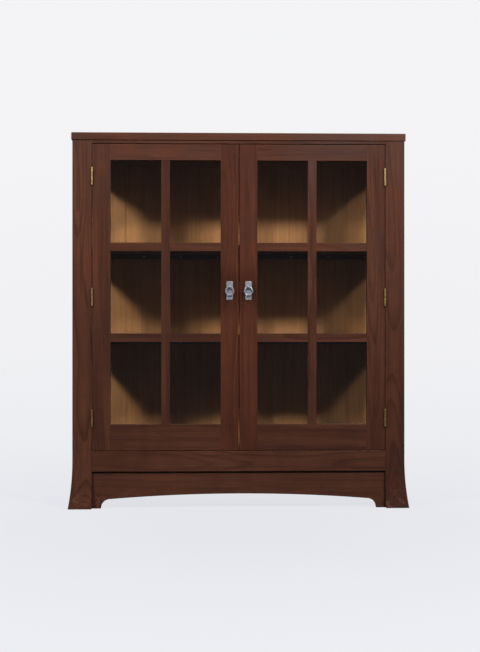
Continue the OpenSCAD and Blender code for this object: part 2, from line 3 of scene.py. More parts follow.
import json
import math
import random
from collections import namedtuple

import bmesh
import bpy
from bpy.props import FloatProperty, FloatVectorProperty, IntProperty, PointerProperty
from mathutils import Matrix, Vector

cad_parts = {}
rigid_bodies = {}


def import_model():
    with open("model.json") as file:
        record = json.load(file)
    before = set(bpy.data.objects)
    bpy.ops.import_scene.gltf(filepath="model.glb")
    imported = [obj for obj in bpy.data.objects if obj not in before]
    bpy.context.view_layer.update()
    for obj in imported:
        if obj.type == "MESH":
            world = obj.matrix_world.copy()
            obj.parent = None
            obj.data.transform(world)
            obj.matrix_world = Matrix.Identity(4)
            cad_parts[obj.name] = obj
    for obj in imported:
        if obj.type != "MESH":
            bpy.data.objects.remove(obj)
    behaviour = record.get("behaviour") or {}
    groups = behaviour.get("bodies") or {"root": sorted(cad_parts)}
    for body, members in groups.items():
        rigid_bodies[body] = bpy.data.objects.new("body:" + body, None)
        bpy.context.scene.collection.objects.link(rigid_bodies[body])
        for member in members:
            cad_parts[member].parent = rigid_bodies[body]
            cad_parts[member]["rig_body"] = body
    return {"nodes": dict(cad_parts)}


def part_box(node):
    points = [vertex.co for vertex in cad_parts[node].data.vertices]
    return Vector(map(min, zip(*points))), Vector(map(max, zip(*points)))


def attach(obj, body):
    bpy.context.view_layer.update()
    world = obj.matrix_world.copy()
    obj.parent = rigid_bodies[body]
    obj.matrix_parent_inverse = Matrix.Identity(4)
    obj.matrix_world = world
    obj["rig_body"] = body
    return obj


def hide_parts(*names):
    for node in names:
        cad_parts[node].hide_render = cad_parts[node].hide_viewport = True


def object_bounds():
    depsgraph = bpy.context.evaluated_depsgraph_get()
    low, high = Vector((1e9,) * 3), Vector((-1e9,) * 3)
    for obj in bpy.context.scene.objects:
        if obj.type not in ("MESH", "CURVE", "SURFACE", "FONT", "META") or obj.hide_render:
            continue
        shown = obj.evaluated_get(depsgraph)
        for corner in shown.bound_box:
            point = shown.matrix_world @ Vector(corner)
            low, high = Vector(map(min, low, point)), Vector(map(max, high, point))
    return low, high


bl_info = {
    "name": "China cabinet",
    "version": (1, 0, 0),
    "blender": (4, 5, 0),
    "location": "View3D > Sidebar > Cabinet",
    "description": "Finishes the boards, glass and fittings of a china cabinet and sets its stage",
    "category": "Object",
}

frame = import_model()
cad_low, cad_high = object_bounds()
NODES = frame["nodes"]
MM = 0.001


# Settings that a user would change


def colour(name, description, value):
    return FloatVectorProperty(
        name=name, description=description, subtype="COLOR", size=3, min=0.0, max=1.0, default=value
    )


def length(name, description, value):
    return FloatProperty(
        name=name, description=description, unit="LENGTH", default=value, precision=4
    )


def share(name, description, value):
    return FloatProperty(
        name=name, description=description, subtype="FACTOR", min=0.0, max=1.0, default=value
    )


def position(name, description, value):
    return FloatVectorProperty(
        name=name,
        description=description,
        subtype="TRANSLATION",
        unit="LENGTH",
        size=3,
        default=value,
    )


def power(name, description, value):
    return FloatProperty(name=name, description=description, unit="POWER", default=value)


class CabinetTimber(bpy.types.PropertyGroup):
    outer_light: colour("Outer light", "Palest streaks of the outer wood", (0.116, 0.041, 0.023))
    outer_mid: colour("Outer middle", "Body colour of the outer wood", (0.065, 0.0222, 0.0135))
    outer_dark: colour("Outer dark", "Rings and pores of the outer wood", (0.020, 0.0078, 0.0056))
    inner_light: colour("Inner light", "Palest streaks of the back boards", (0.54, 0.245, 0.092))
    inner_mid: colour("Inner middle", "Body colour of the back boards", (0.44, 0.185, 0.064))
    inner_dark: colour("Inner dark", "Rings and pores of the back boards", (0.23, 0.088, 0.028))
    ring_width: length("Ring width", "Mean width of a year's growth", 0.0042)
    wear: share("Wear", "How far the stain has rubbed off the edges", 0.5)
    # This setting also sets how dark the painted shade is where boards meet.
    grime: share("Grime", "How much old wax and dust sits in the corners", 0.55)


class CabinetMetals(bpy.types.PropertyGroup):
    pewter: colour("Pewter", "Colour of the pull plates and rings", (0.50, 0.53, 0.60))
    brass: colour("Brass", "Colour of the hinges and their screws", (0.50, 0.33, 0.13))
    steel: colour("Steel", "Colour of the other screws and the strike plates", (0.46, 0.45, 0.43))
    dent_depth: length("Dent depth", "Depth of the hammer marks in the pulls", 0.00028)
    dent_width: length("Dent width", "Radius of a hammer mark", 0.0026)
    slot_width: length("Slot width", "Width of a screw's slot", 0.0008)
    seed: IntProperty(name="Seed", description="Start of the random turns and dents", default=7)


class CabinetGlazing(bpy.types.PropertyGroup):
    tint: colour("Tint", "Colour of the glass", (0.93, 0.965, 0.95))
    ripple: length("Ripple", "Height of the waves in the old glass", 0.0006)


class CabinetStage(bpy.types.PropertyGroup):
    left_place: position("Left place", "Where the left lamp hangs", (-2.27, -2.37, 2.58))
    left_power: power("Left power", "Power of the left lamp", 87.0)
    right_place: position("Right place", "Where the right lamp hangs", (1.4, -2.7, 2.8))
    right_power: power("Right power", "Power of the right lamp", 78.0)
    far_place: position("Far place", "Where the lamp on the far right hangs", (2.3, -2.2, 2.6))
    far_power: power("Far power", "Power of the lamp on the far right", 33.0)
    lamp_size: length("Lamp size", "Side of each lamp", 0.35)
    eye_height: length("Eye height", "Height of the camera", 0.680)
    eye_distance: length("Eye distance", "Distance of the camera from the doors", 5.0)
    eye_turn: FloatProperty(
        name="Eye turn",
        description="Turn of the camera round the cabinet",
        subtype="ANGLE",
        default=math.radians(-1.9),
    )
    eye_aside: length("Eye aside", "How far the view's middle lies right of the cabinet's", 0.0035)
    lens: FloatProperty(
        name="Lens", description="Focal length over a 36 mm high picture", default=74.0
    )


# Short ways to wire nodes


class Wiring:
    """Adds nodes to a tree; most calls return the new node's output."""

    def __init__(self, tree):
        self.tree = tree

    def put(self, socket, value):
        if isinstance(value, bpy.types.NodeSocket):
            self.tree.links.new(value, socket)
        elif value is not None:
            socket.default_value = value

    def node(self, kind, sockets=None, **settings):
        made = self.tree.nodes.new(kind)
        for key, value in settings.items():
            setattr(made, key, value)
        self.feed(made, sockets or {})
        return made

    def feed(self, node, sockets):
        for key, value in sockets.items():
            self.put(node.inputs[key], value)

    def math(self, operation, *values, clamp=False):
        made = self.node("ShaderNodeMath", operation=operation, use_clamp=clamp)
        for socket, value in zip(made.inputs, values):
            self.put(socket, value)
        return made.outputs[0]

    def times(self, a, b, clamp=False):
        return self.math("MULTIPLY", a, b, clamp=clamp)

    def inverse(self, value):
        return self.math("SUBTRACT", 1.0, value)

    def vector(self, operation, *values):
        made = self.node("ShaderNodeVectorMath", operation=operation)
        for socket, value in zip(made.inputs, values):
            self.put(socket, value)
        number = operation in ("LENGTH", "DOT_PRODUCT", "DISTANCE")
        return made.outputs["Value" if number else "Vector"]

    def mix(self, factor, a, b):
        made = self.node("ShaderNodeMix", data_type="RGBA")
        self.feed(made, {0: factor, 6: a, 7: b})
        return made.outputs[2]

    def span(self, value, low, high, to_low=0.0, to_high=1.0, kind="SMOOTHSTEP"):
        made = self.node("ShaderNodeMapRange", interpolation_type=kind)
        self.feed(made, dict(enumerate((value, low, high, to_low, to_high))))
        return made.outputs[0]

    def noise(self, vector, scale, detail=2.0, rough=0.5, distortion=0.0, output="Fac"):
        made = self.node("ShaderNodeTexNoise", {"Vector": vector, "Scale": scale, "Detail": detail})
        self.feed(made, {"Roughness": rough, "Distortion": distortion})
        return made.outputs[output]

    def luck(self, seed, output):
        """A random value or colour for each whole number."""
        made = self.node("ShaderNodeTexWhiteNoise", {"W": seed}, noise_dimensions="1D")
        return made.outputs[output]

    def bump(self, strength, distance, height):
        sockets = {"Strength": strength, "Distance": distance, "Height": height}
        return self.node("ShaderNodeBump", sockets).outputs[0]

    def split(self, vector):
        made = self.node("ShaderNodeSeparateXYZ", {0: vector})
        return made.outputs[0], made.outputs[1], made.outputs[2]

    def join(self, x, y, z):
        return self.node("ShaderNodeCombineXYZ", {0: x, 1: y, 2: z}).outputs[0]

    def group(self, name, **sockets):
        made = self.node("ShaderNodeGroup", node_tree=bpy.data.node_groups[name])
        for key, value in sockets.items():
            self.put(made.inputs[key.replace("_", " ").capitalize()], value)
        return made.outputs


FLOAT, COLOUR, VECTOR = "NodeSocketFloat", "NodeSocketColor", "NodeSocketVector"


def new_group(name, inputs, outputs):
    """An empty shader node group: inputs are (label, kind, value), outputs (label, kind)."""
    tree = bpy.data.node_groups.new(name, "ShaderNodeTree")
    for label, kind, value in inputs:
        socket = tree.interface.new_socket(label, in_out="INPUT", socket_type=kind)
        if value is not None:
            socket.default_value = value
    for label, kind in outputs:
        tree.interface.new_socket(label, in_out="OUTPUT", socket_type=kind)
    w = Wiring(tree)
    return w, w.node("NodeGroupInput").outputs, w.node("NodeGroupOutput").inputs


def empty_tree(owner):
    """Wiring for a material or a world, cleared of its own nodes."""
    owner.use_nodes = True
    owner.node_tree.nodes.clear()
    return Wiring(owner.node_tree)


# Effects that several finishes share

WELD, CREVICE_REACH = 0.01 * MM, 4 * MM


def build_boards_group():
    """Splits a wide glued-up piece into boards, each with its own grain, tone and place."""
    w, i, o = new_group(
        "Boards side by side",
        [
            ("Vector", VECTOR, None),
            ("Start", FLOAT, 0.0),
            ("Pitch", FLOAT, 1.0),
            ("Seed", FLOAT, 0.0),
        ],
        [("Vector", VECTOR), ("Tone", FLOAT)],
    )
    x, y, z = w.split(i["Vector"])
    place = w.math("DIVIDE", w.math("SUBTRACT", x, i["Start"]), i["Pitch"])
    index = w.math("FLOOR", place)
    local = w.times(w.math("SUBTRACT", w.math("SUBTRACT", place, index), 0.5), i["Pitch"])
    r, g, b = w.split(w.luck(w.math("ADD", index, i["Seed"]), "Color"))
    shifted_x = w.math("MULTIPLY_ADD", w.math("SUBTRACT", r, 0.5), 0.16, local)
    shifted_z = w.math("MULTIPLY_ADD", g, 9.0, z)
    w.put(o["Vector"], w.join(shifted_x, y, shifted_z))
    w.put(o["Tone"], b)


def build_grain_group():
    """Year rings about a heart, fibres, pores, a figure that follows the rings, and a few knots."""
    w, i, o = new_group(
        "Timber grain",
        [
            ("Vector", VECTOR, None),
            ("Heart", VECTOR, (0.0, -0.1, 0.0)),
            ("Seed", FLOAT, 0.0),
            ("Ring width", FLOAT, 0.004),
            ("Tone", FLOAT, 0.5),
            ("Knots", FLOAT, 0.0),
            ("Light", COLOUR, None),
            ("Middle", COLOUR, None),
            ("Dark", COLOUR, None),
        ],
        [("Color", COLOUR), ("Height", FLOAT)],
    )
    away = w.vector("ADD", i["Vector"], w.join(i["Seed"], i["Seed"], i["Seed"]))
    stretched = w.vector("MULTIPLY", away, (3.2, 3.2, 0.95))
    drift = w.vector("SUBTRACT", w.noise(stretched, 1.0, 2.0, 0.5, 0.0, "Color"), (0.5, 0.5, 0.5))
    bent = w.vector("ADD", i["Vector"], w.vector("MULTIPLY", drift, (0.055, 0.055, 0.0)))
    # Knots swell the rings round them
    cells = w.node(
        "ShaderNodeTexVoronoi",
        {"Vector": w.vector("MULTIPLY", away, (1.0, 1.0, 0.55)), "Scale": 2.6, "Randomness": 1.0},
        feature="F1",
    ).outputs["Distance"]
    near = w.times(w.math("EXPONENT", w.times(cells, -26.0)), i["Knots"])
    x, y, z = w.split(w.vector("SUBTRACT", bent, i["Heart"]))
    lean = w.math("MULTIPLY_ADD", z, 0.022, x)
    radius = w.math("SQRT", w.math("ADD", w.times(lean, lean), w.times(y, y)))
    radius = w.math("MULTIPLY_ADD", near, 0.03, radius)
    year = w.math("DIVIDE", radius, i["Ring width"])
    uneven = w.noise(w.join(year, 0.0, i["Seed"]), 0.31, 2.0)
    year = w.math("MULTIPLY_ADD", uneven, 2.4, year)
    phase = w.math("FRACT", year)
    luck = w.luck(w.math("FLOOR", year), "Value")
    late = w.times(w.span(phase, 0.35, 0.93), w.span(phase, 0.95, 1.0, 1.0, 0.0))
    late = w.times(late, w.math("MULTIPLY_ADD", luck, 0.7, 0.3))
    along_rings = w.join(w.times(radius, 30.0), i["Seed"], w.times(z, 1.5))
    figure = w.noise(along_rings, 1.0, 3.0, 0.55, 0.3)
    fibres = w.noise(w.vector("MULTIPLY", away, (420.0, 420.0, 9.0)), 1.0, 3.0, 0.6)
    coarse = w.noise(w.vector("MULTIPLY", away, (90.0, 90.0, 2.4)), 1.0, 3.0, 0.6)
    pores = w.span(w.noise(w.vector("MULTIPLY", away, (950.0, 950.0, 30.0)), 1.0, 1.0), 0.58, 0.76)
    pores = w.times(pores, w.inverse(w.times(late, 0.6)))
    knot = w.times(w.span(cells, 0.05, 0.02), i["Knots"])

    tone = w.math("MULTIPLY_ADD", w.math("SUBTRACT", i["Tone"], 0.5), 0.75, figure)
    body = w.mix(w.span(tone, 0.28, 0.72), i["Light"], i["Middle"])
    for mask, depth in (
        (late, 0.55),
        (w.span(coarse, 0.42, 0.75), 0.35),
        (w.span(fibres, 0.45, 0.8), 0.22),
        (pores, 0.55),
    ):
        body = w.mix(w.times(mask, depth), body, i["Dark"])
    burl = w.mix(0.5, i["Dark"], (0.01, 0.004, 0.002, 1.0))
    w.put(o["Color"], w.mix(w.times(knot, 0.85), body, burl))
    rough = w.math("SUBTRACT", w.times(fibres, 0.45), w.times(pores, 0.35))
    w.put(o["Height"], w.math("SUBTRACT", rough, w.times(late, 0.25)))


def build_wear_group():
    """Where hands and cloths have rubbed the edges."""
    w, i, o = new_group(
        "Edge wear",
        [
            ("Vector", VECTOR, None),
            ("Radius", FLOAT, 0.003),
            ("Amount", FLOAT, 0.5),
            ("Seed", FLOAT, 0.0),
        ],
        [("Wear", FLOAT)],
    )
    rounded = w.node("ShaderNodeBevel", {"Radius": i["Radius"]}, samples=4).outputs[0]
    flat = w.node("ShaderNodeNewGeometry").outputs["Normal"]
    turn = w.inverse(w.vector("DOT_PRODUCT", rounded, flat))
    edge = w.span(turn, 0.015, 0.2)
    place = w.vector("ADD", i["Vector"], w.join(i["Seed"], 0.0, i["Seed"]))
    broad = w.span(w.noise(place, 9.0, 3.0, 0.6), 0.36, 0.62)
    fine = w.noise(place, 160.0, 3.0, 0.65)
    patchy = w.times(broad, w.span(fine, 0.3, 0.6))
    w.put(o["Wear"], w.times(w.times(edge, patchy), i["Amount"], clamp=True))


def build_grime_and_painted_shade_group():
    """Painted shade where boards meet, darkened from ambient occlusion, which also stands for old
    wax and dust there, and faint clouds over the whole finish.
    """
    w, i, o = new_group(
        "Grime and clouds",
        [("Vector", VECTOR, None), ("Reach", FLOAT, 0.02), ("Amount", FLOAT, 0.5)],
        [("Grime", FLOAT), ("Clouds", FLOAT)],
    )
    # Painted shade: ambient occlusion darkens the wood where boards meet.
    shut = w.node("ShaderNodeAmbientOcclusion", {"Distance": i["Reach"]}, samples=6).outputs["AO"]
    clouds = w.noise(i["Vector"], 4.5, 4.0, 0.6, 0.6)
    specks = w.noise(i["Vector"], 60.0, 3.0, 0.6)
    inside = w.times(w.inverse(shut), w.span(specks, 0.2, 0.7, 0.55, 1.0))
    w.put(o["Grime"], w.times(inside, i["Amount"], clamp=True))
    w.put(o["Clouds"], clouds)


def build_tarnish_group():
    """Tarnish, small scratches and pits on metal."""
    w, i, o = new_group(
        "Tarnish",
        [("Vector", VECTOR, None), ("Amount", FLOAT, 0.5)],
        [("Tarnish", FLOAT), ("Height", FLOAT), ("Rub", FLOAT)],
    )
    place = i["Vector"]
    blot = w.span(w.noise(place, 70.0, 4.0, 0.65, 0.8), 0.38, 0.68)
    sockets = {"Distance": CREVICE_REACH}
    shut = w.node("ShaderNodeAmbientOcclusion", sockets, samples=6).outputs["AO"]
    crevice = w.times(w.inverse(shut), 0.9)
    w.put(o["Tarnish"], w.times(w.math("MAXIMUM", blot, crevice), i["Amount"], clamp=True))
    scratch = w.noise(w.vector("MULTIPLY", place, (1.0, 1.0, 14.0)), 120.0, 2.0)
    pits = w.span(w.noise(place, 900.0, 1.0), 0.62, 0.75)
    w.put(o["Height"], w.math("SUBTRACT", w.times(scratch, 0.4), w.times(pits, 0.6)))
    w.put(o["Rub"], w.noise(place, 240.0, 3.0))


def build_smoothing_group():
    """Geometry nodes that weld a CAD mesh and shade it smooth, ready for a bevel."""
    tree = bpy.data.node_groups.new("Weld and smooth", "GeometryNodeTree")
    for side in ("INPUT", "OUTPUT"):
        tree.interface.new_socket("Geometry", in_out=side, socket_type="NodeSocketGeometry")
    w = Wiring(tree)
    flow = w.node("NodeGroupInput").outputs[0]
    for kind, sockets in (
        ("RemoveAttribute", {"Name": "custom_normal"}),
        ("MergeByDistance", {"Distance": WELD}),
        ("SetShadeSmooth", {}),
    ):
        flow = w.node("GeometryNode" + kind, {"Geometry": flow, **sockets}).outputs[0]
    w.put(w.node("NodeGroupOutput").inputs[0], flow)


def need_groups():
    """Builds the shared node groups once."""
    if "Timber grain" in bpy.data.node_groups:
        return
    for build in (
        build_boards_group,
        build_grain_group,
        build_wear_group,
        build_grime_and_painted_shade_group,
        build_tarnish_group,
        build_smoothing_group,
    ):
        build()


# Finishes

PLAIN = (1.0, 1.0, 1.0)
RED = (0.97, 0.82, 0.76)
# How much paler bare edges are, colour of the grime and painted shade where boards meet, range of
# roughness, weight of the wax
Wood = namedtuple("Wood", "name bare soot rough coat")
OUTER = Wood("outer", 2.3, (0.010, 0.0062, 0.0045, 1.0), (0.24, 0.36), 0.10)
INNER = Wood("inner", 1.2, (0.06, 0.028, 0.014, 1.0), (0.44, 0.60), 0.05)
DUST = (0.30, 0.27, 0.25, 1.0)
CLOUD_SHARE = 0.30
COAT_WORN, COAT_ROUGH, WAX_GLOSS = 0.03, 0.22, 0.27
GRAIN_STRENGTH, GRAIN_DEPTH = 0.4, 0.3 * MM
SCUFF_HEIGHT, SCUFF_PALER, SCUFF_SHARE, SCUFF_DULLS = 0.10, 1.5, 0.55, 0.22
DUST_SHARE, DUST_DULLS = 0.055, 0.9
HAND_NEAR, HAND_FAR, HAND_SHARE, HAND_POLISH = 0.012, 0.075, 0.5, 0.12
GRIME_AND_SHADE_REACH, GRIME_AND_SHADE_DULLS = 0.022, 0.25
WEAR_RADIUS = 3.2 * MM
TONE_SPREAD = 0.28
SCRATCH_STRENGTH, SCRATCH_DEPTH, TARNISH_DULLS = 0.5, 0.12 * MM, 0.28
ENAMEL, PRIMER = (0.045, 0.022, 0.014, 1.0), (0.2, 0.17, 0.14, 1.0)
ORANGE_PEEL = 0.1 * MM
FERRITE = (0.02, 0.02, 0.022, 1.0), (0.06, 0.058, 0.055, 1.0)
GLASS_IOR, GLASS_FILM, SEED_HEIGHT, RIPPLE_STRENGTH = 1.5, 0.035, 0.04, 0.6
CLEAR = (0.95, 0.965, 0.955, 1.0)


def new_finish(name):
    """A material with its wiring, its surface shader and its object coordinates."""
    made = bpy.data.materials.new(name)
    w = empty_tree(made)
    skin = w.node("ShaderNodeBsdfPrincipled")
    out = w.node("ShaderNodeOutputMaterial")
    w.tree.links.new(skin.outputs[0], out.inputs[0])
    return made, w, skin, out, w.node("ShaderNodeTexCoord").outputs["Object"]


def rgba(value):
    return (*value, 1.0)


def board_axes(low, high, grain):
    """Indices of a board's width, thickness and length, from its box and the way its grain runs."""
    size = high - low
    others = [k for k in range(3) if k != grain]
    others.sort(key=lambda k: -size[k])
    return others[0], others[1], grain


Timber = namedtuple(
    "Timber", "grain boards tone arris knots tint stained", defaults=(0.0, PLAIN, True)
)


def heart_of(box, axes, luck):
    """Where the tree's heart runs past a board: mostly behind its face, sometimes beside it."""
    low, high = box
    wide, thin, along = axes
    middle = (low + high) / 2
    aside = luck.uniform(-0.35, 0.35) * (high[wide] - low[wide])
    behind = luck.uniform(0.045, 0.17)
    if luck.random() < 0.35:
        aside, behind = luck.choice((-1, 1)) * luck.uniform(0.12, 0.3), 0.03
    return [middle[wide] + aside, middle[thin] - behind, middle[along]]


def scuffed(w, place, height, light, shade, rough):
    """Shoes and mops have scuffed what is near the floor."""
    patches = w.span(w.noise(place, 55.0, 4.0, 0.7), 0.5, 0.68)
    scuff = w.times(w.span(height, SCUFF_HEIGHT, 0.0), patches)
    shade = w.mix(w.times(scuff, SCUFF_SHARE), shade, rgba([c * SCUFF_PALER for c in light]))
    return shade, w.math("MULTIPLY_ADD", scuff, SCUFF_DULLS, rough)


def dusty(w, place, shade, rough):
    """Dust lies on what faces up, and dulls it."""
    up = w.split(w.node("ShaderNodeNewGeometry").outputs["Normal"])[2]
    specks = w.span(w.noise(place, 240.0, 4.0, 0.75), 0.3, 0.7)
    lying = w.times(w.span(up, 0.6, 0.98), w.times(w.noise(place, 9.0, 3.0, 0.6), specks))
    shade = w.mix(w.times(lying, DUST_SHARE), shade, DUST)
    return shade, w.math("MULTIPLY_ADD", lying, DUST_DULLS, rough)


def handled(w, place, spot, dark, shade, rough):
    """Years of hands have darkened and polished the wood round the pull."""
    away = w.vector("MULTIPLY", w.vector("SUBTRACT", place, spot), (1.0, 1.0, 0.6))
    near = w.span(w.vector("LENGTH", away), HAND_FAR, HAND_NEAR)
    touched = w.times(near, w.span(w.noise(place, 25.0, 3.0), 0.25, 0.6, 0.5, 1.0))
    shade = w.mix(w.times(touched, HAND_SHARE), shade, dark)
    return shade, w.math("SUBTRACT", rough, w.times(touched, HAND_POLISH))


def timber_finish(name, box, timber, seed, spot=None):
    """Waxed wood for one piece; spot is where hands have darkened it."""
    s = bpy.context.scene.cabinet_timber
    luck = random.Random(seed)
    low, high = box
    axes = board_axes(low, high, timber.grain)
    heart = heart_of(box, axes, luck)
    made, w, skin, _, place = new_finish(name)
    parts = w.split(place)
    local = w.join(*(parts[k] for k in axes))
    tone, start = timber.tone, low[axes[0]]
    wood = OUTER if timber.stained else INNER
    if timber.boards > 1:
        pitch = (high[axes[0]] - start) / timber.boards
        split = w.group(
            "Boards side by side", vector=local, start=start, pitch=pitch, seed=seed * 1.7
        )
        local = split["Vector"]
        tone = w.span(split["Tone"], 0.0, 1.0, tone - TONE_SPREAD, tone + TONE_SPREAD, "LINEAR")
        heart[0] = 0.0
    shades = [getattr(s, f"{wood.name}_{part}") for part in ("light", "mid", "dark")]
    light, middle, dark = (rgba([c * t for c, t in zip(shade, timber.tint)]) for shade in shades)
    grain = w.group(
        "Timber grain",
        vector=local,
        heart=heart,
        seed=luck.uniform(0.0, 40.0),
        ring_width=s.ring_width * luck.uniform(0.8, 1.35),
        tone=tone,
        knots=timber.knots,
        light=light,
        middle=middle,
        dark=dark,
    )
    grime_shade_and_clouds = w.group("Grime and clouds", vector=place, reach=GRIME_AND_SHADE_REACH, amount=s.grime)
    edges = w.group("Edge wear", vector=place, radius=WEAR_RADIUS, amount=s.wear, seed=seed * 0.37)
    clouds, worn = grime_shade_and_clouds["Clouds"], edges["Wear"]
    shade = w.mix(w.span(clouds, 0.35, 0.7, 0.0, CLOUD_SHARE), grain["Color"], dark)
    shade = w.mix(worn, shade, rgba([min(1.0, c * wood.bare) for c in shades[0]]))
    # Painted shade where boards meet, in the colour of old wax and dust.
    shade = w.mix(grime_shade_and_clouds["Grime"], shade, wood.soot)
    waxed = w.span(clouds, 0.3, 0.7, *wood.rough)
    rough = w.math("MULTIPLY_ADD", grime_shade_and_clouds["Grime"], GRIME_AND_SHADE_DULLS, waxed)
    if timber.stained:
        shade, rough = scuffed(w, place, parts[2], shades[0], shade, rough)
        shade, rough = dusty(w, place, shade, rough)
    if spot is not None:
        shade, rough = handled(w, place, spot, dark, shade, rough)
    w.feed(
        skin,
        {
            "Base Color": shade,
            "Roughness": rough,
            "Normal": w.bump(GRAIN_STRENGTH, GRAIN_DEPTH, grain["Height"]),
            "Coat Weight": w.span(worn, 0.0, 0.6, wood.coat, COAT_WORN),
            "Coat Roughness": COAT_ROUGH,
            "Specular IOR Level": WAX_GLOSS,
        },
    )
    return made


def metal_finish(name, shade, tarnished, rough, amount, dull):
    """Old metal with tarnish in its hollows; shade and tarnished are its two colours."""
    _, w, skin, _, place = new_finish(name)
    old = w.group("Tarnish", vector=place, amount=amount)
    tarnish = old["Tarnish"]
    used = w.math("ADD", old["Rub"], tarnish)
    w.feed(
        skin,
        {
            "Base Color": w.mix(tarnish, rgba(shade), rgba(tarnished)),
            "Roughness": w.span(used, 0.3, 1.3, rough, rough + TARNISH_DULLS),
            "Metallic": w.span(tarnish, 0.2, 1.0, 1.0, dull),
            "Normal": w.bump(SCRATCH_STRENGTH, SCRATCH_DEPTH, old["Height"]),
        },
    )


def need_metals():
    """Makes the metals, the catch's enamel and its magnet once."""
    need_groups()
    m = bpy.context.scene.cabinet_metals
    if "pewter" in bpy.data.materials:
        return
    metal_finish("pewter", m.pewter, [c * 0.28 for c in m.pewter], 0.34, 0.75, 0.7)
    metal_finish("brass", m.brass, (0.10, 0.055, 0.025), 0.30, 0.7, 0.55)
    metal_finish("steel", m.steel, (0.13, 0.10, 0.075), 0.32, 0.6, 0.6)
    _, w, skin, _, place = new_finish("enamel")
    chips = w.span(w.noise(place, 180.0, 4.0, 0.7), 0.60, 0.66)
    w.feed(
        skin,
        {
            "Base Color": w.mix(chips, ENAMEL, PRIMER),
            "Roughness": w.span(w.noise(place, 90.0, 3.0), 0.3, 0.7, 0.32, 0.5),
            "Normal": w.bump(0.3, ORANGE_PEEL, w.noise(place, 700.0, 2.0)),
        },
    )
    _, w, skin, _, place = new_finish("magnet")
    speckled = w.mix(w.noise(place, 400.0, 3.0), *FERRITE)
    dull = w.span(w.noise(place, 300.0, 3.0), 0.3, 0.7, 0.55, 0.8)
    w.feed(skin, {"Base Color": speckled, "Roughness": dull})


def glass_finish():
    """Old window glass: clear, slightly rippled and dusty, and light passes it."""
    g = bpy.context.scene.cabinet_glazing
    made, w, skin, out, place = new_finish("old_glass")
    film = w.span(w.noise(place, 7.0, 5.0, 0.6, 0.4), 0.35, 0.75, 0.0, GLASS_FILM)
    ripples = w.noise(w.vector("MULTIPLY", place, (1.0, 1.0, 0.45)), 15.0, 2.0, 0.45, 0.5)
    seeds = w.span(w.noise(place, 420.0, 1.0), 0.77, 0.87)
    height = w.math("MULTIPLY_ADD", seeds, SEED_HEIGHT, ripples)
    w.feed(
        skin,
        {
            "Base Color": rgba(g.tint),
            "Transmission Weight": 1.0,
            "IOR": GLASS_IOR,
            "Roughness": film,
            "Normal": w.bump(RIPPLE_STRENGTH, g.ripple, height),
        },
    )
    path = w.node("ShaderNodeLightPath").outputs
    window = w.math("MAXIMUM", path["Is Shadow Ray"], path["Is Diffuse Ray"])
    clear = w.node("ShaderNodeBsdfTransparent", {0: CLEAR})
    both = w.node("ShaderNodeMixShader", {0: window, 1: skin.outputs[0], 2: clear.outputs[0]})
    w.tree.links.new(both.outputs[0], out.inputs[0])
    return made


# Work on the pieces

GLASS_EDGE, METAL_EDGE = 0.3 * MM, 0.25 * MM
FLAT_WITHIN, SHARP_OVER = math.radians(0.15), math.radians(35)


def round_edges(piece, radius, segments=3):
    """Welds a CAD piece, clears the seams on its flat faces and rounds its edges."""
    smooth = piece.modifiers.new("Weld", "NODES")
    smooth.node_group = bpy.data.node_groups["Weld and smooth"]
    flat = piece.modifiers.new("Flat faces", "DECIMATE")
    flat.decimate_type = "DISSOLVE"
    flat.angle_limit = FLAT_WITHIN
    bevel = piece.modifiers.new("Arris", "BEVEL")
    bevel.width = radius
    bevel.segments = segments
    bevel.limit_method = "ANGLE"
    bevel.angle_limit = SHARP_OVER
    bevel.use_clamp_overlap = False
    bevel.miter_outer = "MITER_ARC"
    piece.modifiers.new("Shading", "WEIGHTED_NORMAL").weight = 80


def dress(node, finish, radius, segments=3):
    """Gives a CAD piece its finish and its rounded edges."""
    piece = NODES[node]
    piece.data.materials.clear()
    piece.data.materials.append(finish)
    round_edges(piece, radius, segments)


def dress_metal(node, metal):
    """Gives a CAD piece one of the metals."""
    dress(node, bpy.data.materials[metal], METAL_EDGE, 2)


def in_scene(name, data):
    """A new object, linked into the scene."""
    made = bpy.data.objects.new(name, data)
    bpy.context.scene.collection.objects.link(made)
    return made


def add_piece(name, mesh, node, finish):
    """A new piece that stands for a CAD node and rides on its body."""
    piece = in_scene(name, mesh)
    mesh.materials.clear()
    mesh.materials.append(bpy.data.materials[finish])
    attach(piece, NODES[node]["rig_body"])
    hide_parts(node)
    return piece


X, Y, Z = 0, 1, 2
SIDES = ("left", "right")

# What each piece is made of: grain axis, boards glued up, tone, arris in mm, knots, tint, stained
CASE_PIECES = {
    "top_board": Timber(X, 3, 0.42, 2.4),
    # Painted light: the left front post has a paler tone than the other posts, standing for the
    # left lamp's extra light on it.
    "left_front_post": Timber(Z, 1, 0.29, 1.8),
    "right_front_post": Timber(Z, 1, 0.50, 1.8),
    "left_back_post": Timber(Z, 1, 0.58, 1.8),
    "right_back_post": Timber(Z, 1, 0.52, 1.8),
    "left_side_top_rail": Timber(Y, 1, 0.50, 1.2),
    "right_side_top_rail": Timber(Y, 1, 0.48, 1.2),
    "left_side_bottom_rail": Timber(Y, 1, 0.55, 1.2),
    "right_side_bottom_rail": Timber(Y, 1, 0.52, 1.2),
    "left_side_muntins": Timber(Y, 1, 0.50, 1.0),
    "right_side_muntins": Timber(Y, 1, 0.54, 1.0),
    "left_side_beads": Timber(Z, 1, 0.60, 0.8),
    "right_side_beads": Timber(Z, 1, 0.56, 0.8),
    "front_top_rail": Timber(X, 1, 0.50, 1.0),
    # Painted light: the front bottom rail and the toe board have paler tones, standing for the
    # brighter light on the lower front.
    "front_bottom_rail": Timber(X, 1, 0.33, 1.2),
    "toe_board": Timber(X, 1, 0.30, 1.4),
}
